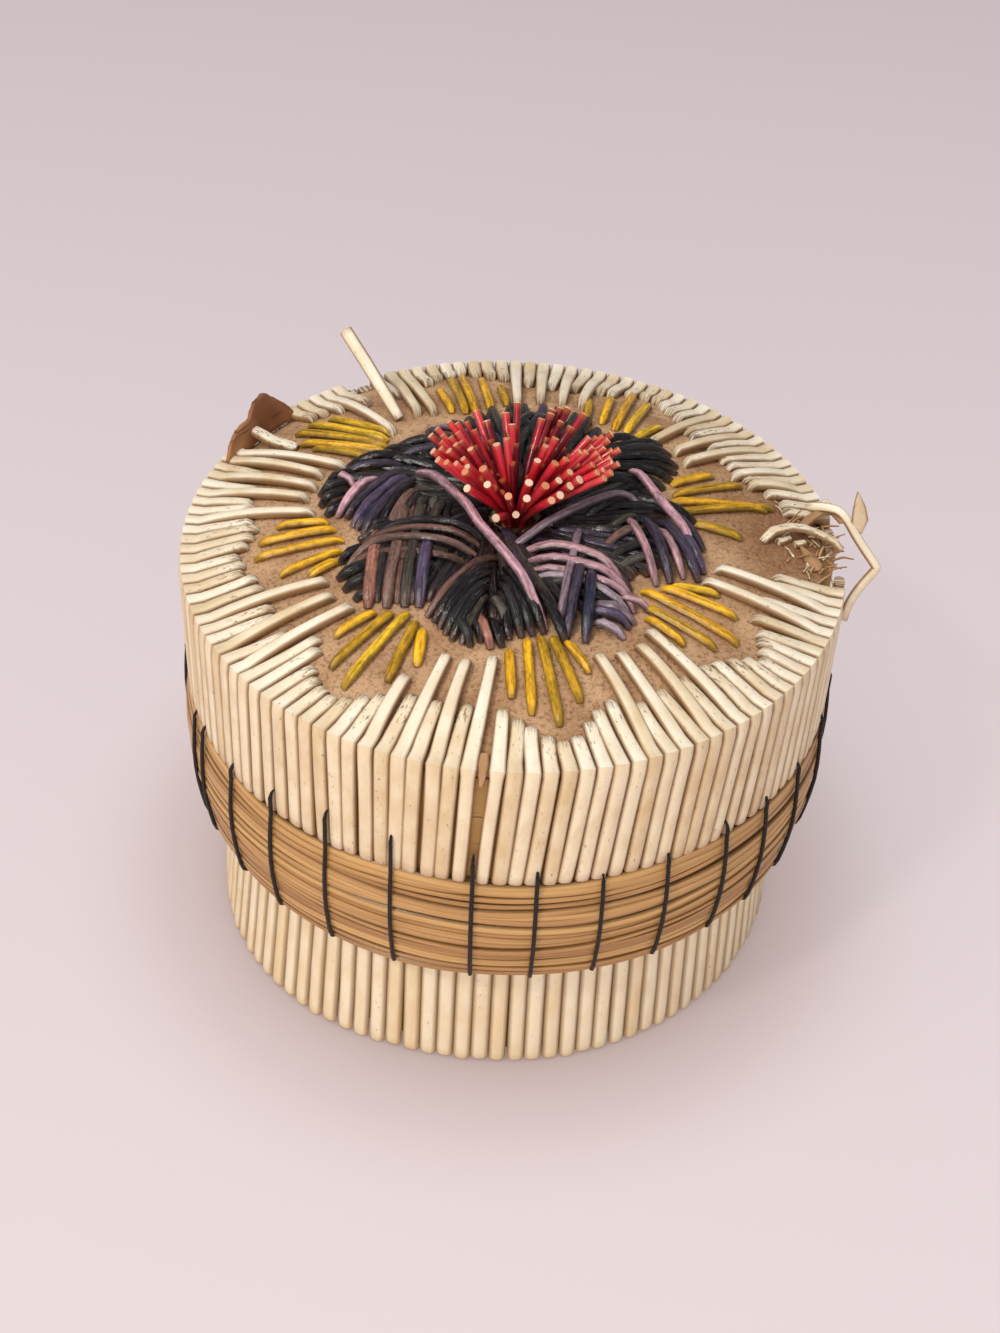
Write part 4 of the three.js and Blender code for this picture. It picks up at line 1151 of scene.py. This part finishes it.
# under the quills that can be told apart, each lobe is packed with dark ones in two crossing layers
packing = {
    "lobes": (36, 83, 122, 168, 217, 260, 301, 345), "outers": (20.6, 27, 20.2, 19.4, 22.6, 22.6, 21.6, 21.4),
    "perLayer": 11, "reach": 26, "slant": 15, "slantStray": 5, "inner": 3.4, "innerStray": 3,
    "drawnIn": 3.1, "outerStray": 0.8, "width": 1.5, "lifts": (-0.1, 0.45),
    "dyes": ("black", "black", "black", "charcoal", "charcoal", "olive", "black", "purple"),
}


def straighter(route, share):
    # draws a route's middle points towards the straight line between its ends
    spots = [polar(radius, degrees, 0) for radius, degrees in route]
    start, end = spots[0], spots[-1]
    chord = end - start
    drawn = [route[0]]
    for spot, (_, degrees) in list(zip(spots, route))[1:-1]:
        onChord = start + chord * ((spot - start).dot(chord) / chord.length_squared)
        spot = spot.lerp(onChord, share)
        drawn.append((spot.length, nearest(directionOf(spot), degrees)))
    return drawn + [route[-1]]


def packedQuills(lobe, picks):
    guides = []
    middle = packing["lobes"][lobe]
    for lift, slant in zip(packing["lifts"], (packing["slant"], -packing["slant"])):
        for k in range(packing["perLayer"]):
            aside = (k / (packing["perLayer"] - 1) * 2 - 1) * packing["reach"] + eitherWay(picks, 1)
            share = min(1, abs(aside) / packing["reach"]) ** 2
            outer = packing["outers"][lobe] - packing["drawnIn"] * share
            outer += eitherWay(picks, packing["outerStray"])
            inner = packing["inner"] + picks.uniform(0, packing["innerStray"])
            degrees = middle + aside
            lean = slant + eitherWay(picks, packing["slantStray"])
            route = straighter(((inner, degrees + lean * 2), ((inner + outer) / 2, degrees + lean * 0.8),
                                (outer, degrees)), 1)
            width = packing["width"] * picks.uniform(0.85, 1.1)
            guides.append(diveGuide(route, lift + eitherWay(picks, 0.1), width, flowerThick,
                                    picks.random(), dyes[picks.choice(packing["dyes"])],
                                    bluntOuter=flowerBlunt))
    return guides


def makeFlower():
    picks = random.Random(31)
    for node, quills in flower.items():
        guides = packedQuills(int(node[-1]) - 1, picks) if node.startswith("flower_lobe") else []
        for dye, layer, width, *flat in quills:
            route = list(zip(flat[::2], flat[1::2]))
            unwound = route[:1]
            for radius, degrees in route[1:]:
                unwound.append((radius, nearest(degrees, unwound[-1][1])))
            if node.startswith("flower_lobe"):
                unwound = straighter(unwound, flowerStraight)
            lift = layerLifts[layer] + eitherWay(picks, 0.1)
            thick = flowerThick * min(1, width / 1.4)
            guides.append(diveGuide(unwound, lift, width, thick, picks.random(), dyes[dye],
                                    dive=1.4 + lift * 1.9, bluntOuter=flowerBlunt))
        name = flowerNames.get(node, node.replace("flower_lobe", "dark_quills"))
        piece = sweep(name, guides, colouredQuill, squareness=2.1, wander=0.12, wanderLength=7, seed=4)
        fit(piece, "lid", flowerSlots.get(node, "dark_quill"), node)


makeFlower()
print("flower made")

# The red tuft: bound at the foot, splayed and clipped. Two thick bunches lean out to the left and the
# right, with single strands between them, and strands at the back painted deep red for the shade they
# stand in. Rows are the tips' level, their kind, and the (x, y) of each.
tuft = {
    "stem": 2.4, "stems": (0.4, 0.95), "leastSplay": 0.22, "rooted": 0.6, "footRise": 1.0,
    "width": 1.12, "bunchWidth": 0.95, "widths": (0.85, 1.12), "clipped": 0.12, "levelStray": 0.5,
    "underFrom": 72.5, "under": (0.5, 0.82), "underStray": 0.7, "underWidth": 0.95,  # the shorter strands
    "reds": ("#C41E2E", "#D02A38", "#B01828", "#D83C44", "#9A1424"), "shadedRed": "#720E1C",
    "bunchTone": 0.42,
}
tuftTips = (
    (73.6, "bunch", ((-11.7, 4), (-11, 6.3), (-9.4, 7), (-8.4, 7.3), (-7.1, 7.4), (-6, 6.1), (-10.3, 3.4),
                     (-9.1, 4.6), (-7.7, 3.7), (-11.2, 0.6), (-10.2, 1.2), (-9.1, 0.8), (-10.5, -0.7),
                     (-8.3, 1.8), (-7.2, -0.2), (-6.3, 1), (-9.3, -1.7), (-8.1, -1.4), (-10.2, 5.2),
                     (-8.2, 5.6))),
    (73.6, "bunch", ((8.2, 2), (9.4, 5.6), (10.4, 5.9), (11.2, 6), (12.4, 6.8), (9.9, 3.5), (10.5, 2.5),
                     (11.4, 3.5), (12.5, 3.3), (13.4, 3.8), (9, 2.1), (11, 1.6), (12.2, 1.5), (9.9, -0.1),
                     (11.3, -1.1), (12.5, 0.4), (13.2, 0), (10.5, -2), (12.3, -1.5), (11.4, -3.1),
                     (11.9, 4.8))),
    (74.3, "single", ((-5.9, 10), (-1.9, 9.8), (-0.4, 11.2), (-1, 6.8), (-2.9, 2.2), (-1.6, 3), (3, 8.8),
                      (8.6, 9.6), (4.9, 4.4), (3.6, 1.6))),
    (73.9, "shaded", ((4.4, 11), (5.4, 11.8), (6.5, 11.6), (7, 7.8), (-4.4, 8), (5.6, 9.2), (4.2, 9.9))),
    (73.0, "single", ((-4.5, -1.4), (-6.8, -2.8), (-6.7, -1.2), (2.6, 0), (8.2, -2.6), (6.9, -2.2),
                      (-3.8, -4.9), (5, 0.6), (6.4, 1.4))),
    (72.0, "single", ((-6.4, -5.4), (-1, -6.6), (1.6, -3.2), (3.8, -3.4), (5.5, -2.9), (7, -3.2),
                      (1.4, -6.2), (5.7, -5.8), (4.6, -7.2))),
    (67.9, "single", ((-2.5, -5.6), (0.1, -5.2))),
)


def tuftStrand(x, y, level, width, picks, leastTone=0.0, hidden=False, shaded=False):
    tip = Vector((x, y, level))
    way = Vector((x, y, 0))
    stem = tuft["stem"] * picks.uniform(*tuft["stems"])
    foot = way.normalized() * min(stem, way.length * tuft["leastSplay"])
    foot.z = barkAt(0) + tuft["footRise"]
    low = foot * 0.9
    low.z = barkAt(0) - tuft["rooted"]
    middle = foot.lerp(tip, 0.5) + Vector((0, 0, 0.3))
    nearTip = tip - (tip - middle).normalized() * tuft["clipped"]
    points = [low, foot, foot.lerp(middle, 0.5) + Vector((0, 0, 0.1)), middle, nearTip, tip]
    widths = [width * s for s in (0.5, 0.6, 0.8, 0.94, 1, 0.96)]
    dye = tuft["shadedRed"] if hidden or shaded else picks.choice(tuft["reds"])
    tone = leastTone + (1 - leastTone) * picks.random()
    return makeGuide(points, -way.normalized() + up * 0.3, widths, widths, tone, int(hidden), dye)


def makeTuft():
    picks = random.Random(5)
    guides = []
    for level, kind, tips in tuftTips:
        for x, y in tips:
            size = tuft["bunchWidth"] if kind == "bunch" else tuft["width"]
            width = size * picks.uniform(*tuft["widths"])
            leastTone = tuft["bunchTone"] if kind == "bunch" else 0.0
            tipLevel = level + eitherWay(picks, tuft["levelStray"])
            guides.append(tuftStrand(x, y, tipLevel, width, picks, leastTone, shaded=kind == "shaded"))
            extra = 2 if kind == "bunch" else 1
            for _ in range(extra if level > tuft["underFrom"] else 0):
                # shorter strands below the ones that are seen, painted deep red for the shade under the
                # others
                share = picks.uniform(*tuft["under"])
                lower = barkAt(0) + (level - barkAt(0)) * (share + 0.04)
                lowX, lowY = (c * share + eitherWay(picks, tuft["underStray"]) for c in (x, y))
                guides.append(tuftStrand(lowX, lowY, lower, width * tuft["underWidth"], picks, hidden=True))
    fit(sweep("red_strands", guides, redQuill, squareness=2.0), "lid", "red_quill", "red_tuft")


makeTuft()
print("tuft made")

# The sweetgrass band: loose stems laid round the foot of the lid, swelling at mid height.
band = {
    "low": lowOf("sweetgrass_band").z, "high": highOf("sweetgrass_band").z, "tuck": 0.9, "swell": 0.6,
    "stems": 22, "stemWidth": 1.2, "stemThick": 0.95, "steps": 150, "backingInset": 1.0,
    "sway": 1.2, "swayPace": 1.6, "weave": 0.35, "weavePace": 1.7, "weaveDepth": 0.6, "inward": 0.15,
    "stemWidths": (0.7, 1.3), "stemDepths": (-0.2, 0.16), "margin": 0.015,
}
lidRadius = 45


def bandRadius(share):
    return lidRadius - band["tuck"] * (1 - share) ** 2 + band["swell"] * math.sin(math.pi * share)


def makeBand():
    picks = random.Random(17)
    tall, pace = band["high"] - band["low"], band["weavePace"]
    guides = []
    for k in range(band["stems"]):
        middle = (k + 0.5) / band["stems"]
        width = band["stemWidth"] * picks.uniform(*band["stemWidths"])
        depth = picks.uniform(*band["stemDepths"])
        tone = picks.random()
        points, outs, widths = [], [], []
        for step in range(band["steps"]):
            degrees = 360 * step / band["steps"]
            spot = polar(band["swayPace"], degrees, 0)
            sway = noise.noise(Vector((spot.x, spot.y, k * 0.37 + 5))) * band["sway"]
            share = min(1 - band["margin"], max(band["margin"], middle + sway / tall))
            weave = noise.noise(Vector((spot.x * pace, spot.y * pace, k * 1.9))) * band["weave"]
            radius = bandRadius(share) - band["stemThick"] / 2 + depth
            radius += weave * band["weaveDepth"] - band["inward"]
            points.append(polar(radius, degrees, band["low"] + tall * share))
            slope = band["swell"] * math.pi * math.cos(math.pi * share) + 2 * band["tuck"] * (1 - share)
            outs.append((polar(1, degrees, 0) - up * slope / tall).normalized())
            widths.append(width * (1 + 0.35 * weave))
        guides.append(makeGuide(points, outs, widths, band["stemThick"], tone, closed=True))
    stems = sweep("sweetgrass_stems", guides, grass, squareness=2.2)
    inner, short = hoopOuter + clearance, 0.3  # the core behind the stems stops short of their edges
    outline = [(inner, band["low"] + short)]
    for share in (0, 0.2, 0.4, 0.6, 0.8, 1):
        level = band["low"] + short + (tall - 2 * short) * share
        outline.append((bandRadius(share) - band["backingInset"], level))
    outline.append((inner, band["high"] - short))
    backing = turned("band_core", outline, grass, ease=0.05)
    fit(stems, "lid", "sweetgrass", "sweetgrass_band")
    fit(backing, "lid", "sweetgrass")


makeBand()
print("band made")

# Black stitches over the band, each from between two quills down to the run under its edge.
stitches = {
    "angles": (-157.9, -153.1, -141.8, -130.8, -119.1, -107.4, -94.0, -83.7, -72.9, -61.5, -49.7, -39.9,
               -29.3, -17.5, -5.5, 6.5, 18, 30, 42, 54, 65.5, 77, 89, 101, 112.5, 124, 136, 148, 160, 171.5,
               183),
    "tops": (41.4, 41.7, 42.2, 43.8, 46.0, 46.1, 44.6, 42.7, 41.1, 41.7, 42.3, 42.2, 42),
    "width": 0.56, "backLevel": 42, "backStray": (-0.6, 1.5), "slant": 0.25,
}


def makeStitches():
    picks = random.Random(3)
    guides = []
    half = stitches["width"] / 2
    low, high = band["low"], band["high"]
    for k, degrees in enumerate(stitches["angles"]):
        topLevel = (stitches["tops"][k] if k < len(stitches["tops"])
                    else stitches["backLevel"] + picks.uniform(*stitches["backStray"]))
        out = polar(1, degrees, 0)
        slant = eitherWay(picks, stitches["slant"])
        # from between two quills, over the band, and in under its lower edge
        path = [(lidRadius - 0.75, topLevel + 0.5), (lidRadius - 0.1, topLevel),
                (lidRadius + 0.2, topLevel - 0.8), (lidRadius + 0.22, high + 0.6)]
        for share in (1, 0.93, 0.82, 0.68, 0.52, 0.36, 0.2, 0.08):
            path.append((bandRadius(share) + half * 0.75, low + (high - low) * share))
        path += [(bandRadius(0) + 0.1, low + 0.25), (bandRadius(0) - 0.3, low - 0.1),
                 (hoopOuter + 0.45, low - 0.25), (hoopOuter - 0.6, low - 0.3)]
        points = [polar(radius, degrees + slant * j / len(path), z) for j, (radius, z) in enumerate(path)]
        widths = [stitches["width"] * s for s in [0.3, 0.7] + [1] * (len(path) - 3) + [0.8]]
        guides.append(makeGuide(points, out, widths, widths, picks.random()))
    stitchPiece = sweep("black_stitches", guides, thread, squareness=2.0, wander=0.12, wanderLength=4)
    fit(stitchPiece, "lid", "thread", "band_stitching")


makeStitches()
print("stitches made")

# What has worked loose: a quill that has sprung up, and one that hangs over the side; (x, y, z).
loose = {
    "sprung": ((-17, 23.2, 63.0), (-19.1, 25.8, 65.0), (-22.4, 29.9, 67.9), (-25.6, 33.9, 70.5)),
    "hanging": ((40.5, 10.5, 60.4), (42.4, 9.2, 61.4), (44.3, 8, 61.8), (45.6, 7.2, 60.9), (47.1, 6.5, 58.8),
                (48.7, 5.9, 56.7), (50.2, 5.2, 54.9), (50.4, 5, 54.3), (49.4, 4.7, 52.7), (48.1, 4, 50.8),
                (47.2, 3.1, 49.2), (46.6, 2, 47.3)),
    "width": 1.6,
}
# Torn pieces round the place where the folds have broken away: (material, thickness, rows of (radius,
# degrees, level above the bark, width)).
tornPieces = (
    ("white", 0.8, ((33.4, 0, 0.1, 1.2), (34.1, 1.1, 0.8, 1.4), (35, 2.4, 1.4, 1.5), (37.4, 4.4, 1.8, 1.5),
                    (39.6, 5.1, 1.9, 1.5), (41.7, 4.7, 1.9, 1.45), (43.5, 3.6, 1.8, 1.4),
                    (44.7, 2.7, 0.8, 1.2))),
    ("bark", 0.5, ((39, 6.4, 0.9, 1.2), (41.3, 10.2, 1.5, 1.5), (43.4, 12.2, 1.9, 1.5),
                   (44.8, 11.2, 2.2, 1.3), (45.4, 8.4, 2.1, 0.9))),
    ("white", 0.9, ((41.4, 14.1, 0.5, 1.9), (43.5, 14.6, 1.0, 1.9), (45.3, 15.1, 1.5, 1.7))),
    ("bark", 0.4, ((38.8, 1.8, 0.3, 0.3), (39.8, 359, 0.5, 1.9), (40.6, 356.6, 0.6, 2.4),
                   (40.9, 355.6, 0.4, 1.4))),
    ("white", 0.8, ((38, 1.7, 0.3, 1.2), (39.5, 3, 0.5, 1.0))),
    ("white", 0.8, ((35.6, 1, 0.3, 1.3), (37.4, 3.2, 0.4, 0.9))),
    ("white", 1.1, ((35.3, 152, 0.2, 1.9), (36.2, 152, 0.6, 2.0), (40, 151, 1.1, 2.0),
                    (43.6, 150.2, 2.2, 1.8))),
    ("bark", 0.4, ((41.5, 266.7, 0.5, 1.2), (43.2, 266.8, 0.6, 1.5), (44.3, 266.8, 0.2, 1.1),
                   (44.5, 266.7, -1.5, 0.5))),
)
# the thin leaf that stands behind the hanging quill: (x, z, width)
leafBack = 7  # its place in y
leafSplinter = ((47.6, 58.8, 0.9), (47.4, 60.8, 2.5), (47, 63, 1.9), (46.6, 64.8, 0.9), (46.4, 65.8, 0.15))


def makeLoose():
    sprung = [Vector(p) for p in loose["sprung"]]
    widths = [loose["width"] * s for s in (0.95, 1.12, 1.2, 1.2)]
    guide = makeGuide(sprung, Vector((-0.3, -0.6, 0.8)), widths, [w * 0.7 for w in widths], 0.3, 0.2)
    piece = sweep("sprung_up_quill", [guide], whiteQuill, sides=12, squareness=2.6)
    fit(piece, "lid", "edge_quill", "sprung_quill")
    hanging = smoothPath([Vector(p) for p in loose["hanging"]])
    guide = makeGuide(hanging, Vector((0.35, -0.75, 0.55)), loose["width"] * 0.8, 1.0, 0.0)
    piece = sweep("hanging_loose_quill", [guide], whiteQuill, sides=12, squareness=2.6)
    fit(piece, "lid", "edge_quill", "hanging_quill")


# fibres of bark and quill that bristle where the edge has torn: angles, radii, and how far they stand up
bristle = {
    "count": 64, "from": -8, "to": 15, "inner": 36.5, "outer": 43.4, "length": (0.9, 3), "thick": 0.2,
    "width": (0.15, 0.5), "lift": 0.6, "heading": (-0.2, 2.6), "whites": 0.3, "dirt": 0.7,
}


def makeTorn():
    picks = random.Random(41)
    sorts = {"white": [], "bark": []}
    for _ in range(bristle["count"]):
        radius = bristle["outer"] - (bristle["outer"] - bristle["inner"]) * picks.random() ** 2
        start = polar(radius, picks.uniform(bristle["from"], bristle["to"]), barkAt(radius) + 0.1)
        heading = picks.uniform(*bristle["heading"])
        reach = picks.uniform(*bristle["length"])
        way = Vector((math.cos(heading), math.sin(heading), 0))
        rise = picks.uniform(0.1, bristle["lift"])
        middle = start + way * reach * 0.5 + up * rise
        tip = start + way * reach + up * rise * picks.uniform(0.2, 1.3)
        size = picks.uniform(*bristle["width"])
        sort = "white" if picks.random() < bristle["whites"] else "bark"
        sorts[sort].append(makeGuide([start, middle, tip], up, [size, size * 0.9, size * 0.25],
                                     bristle["thick"], picks.random(), bristle["dirt"]))
    for kind, thick, rows in tornPieces:
        points = []
        for radius, degrees, level, _ in rows:
            ground = edgeBark + 0.2 if radius > hoopOuter else barkAt(radius)
            points.append(polar(radius, degrees, ground + level))
        sorts[kind].append(makeGuide(points, up, [row[3] for row in rows], thick, picks.random(), 0.6))
    points = [Vector((x, leafBack, z)) for x, z, _ in leafSplinter]
    widths = [row[2] for row in leafSplinter]
    sorts["white"].append(makeGuide(points, Vector((0.2, -1, 0)), widths, 0.35, 0.6, 0.3))
    fit(sweep("broken_quill_ends", sorts["white"], whiteQuill, sides=10, squareness=2.8), "lid", "edge_quill")
    fit(sweep("bark_splinters", sorts["bark"], splitBark, squareness=3), "lid", "bark")


makeLoose()
makeTorn()

# The flake of bark that stands up along the lid's edge, which is (degrees, level) along its torn top.
flake = {
    "radius": 43.4, "base": 58.9, "thick": 0.5, "lean": 0.12, "columns": 48, "rows": 10, "ragged": 0.35,
    "wave": 0.35,
    "edge": ((139.5, 60.2), (140.5, 61.4), (143, 63.2), (146, 65.3), (148.6, 64.9), (150, 64.2),
             (151, 63.2), (154, 63), (158, 61.4), (159.5, 59.8)),
}


def makeFlake():
    columns, rows = flake["columns"], flake["rows"]
    first, last = flake["edge"][0][0], flake["edge"][-1][0]
    verts, faces = [], []
    for k in range(columns + 1):
        degrees = first + (last - first) * k / columns
        ragged = flake["ragged"] * noise.noise(Vector((k * 0.55, 0, 8)))
        high = blendOf(flake["edge"], degrees) + ragged
        for j in range(rows + 1):
            z = flake["base"] + (high - flake["base"]) * j / rows
            rise = z - flake["base"]
            wave = flake["wave"] * noise.noise(Vector((degrees * 0.22, z * 0.3, 2)))
            verts.append(polar(flake["radius"] + flake["lean"] * rise + wave, degrees, z) * mm)
    for k in range(columns):
        for j in range(rows):
            a = k * (rows + 1) + j
            faces.append((a, a + rows + 1, a + rows + 2, a + 1))
    piece = meshPiece("bark_flake", verts, faces, tornBark)
    solidify = piece.modifiers.new("thickness", "SOLIDIFY")
    solidify.thickness = flake["thick"] * mm
    solidify.offset = 0
    fit(piece, "lid", "bark", "torn_bark_flap")


makeFlake()
print("loose pieces made")

bpy.context.view_layer.update()
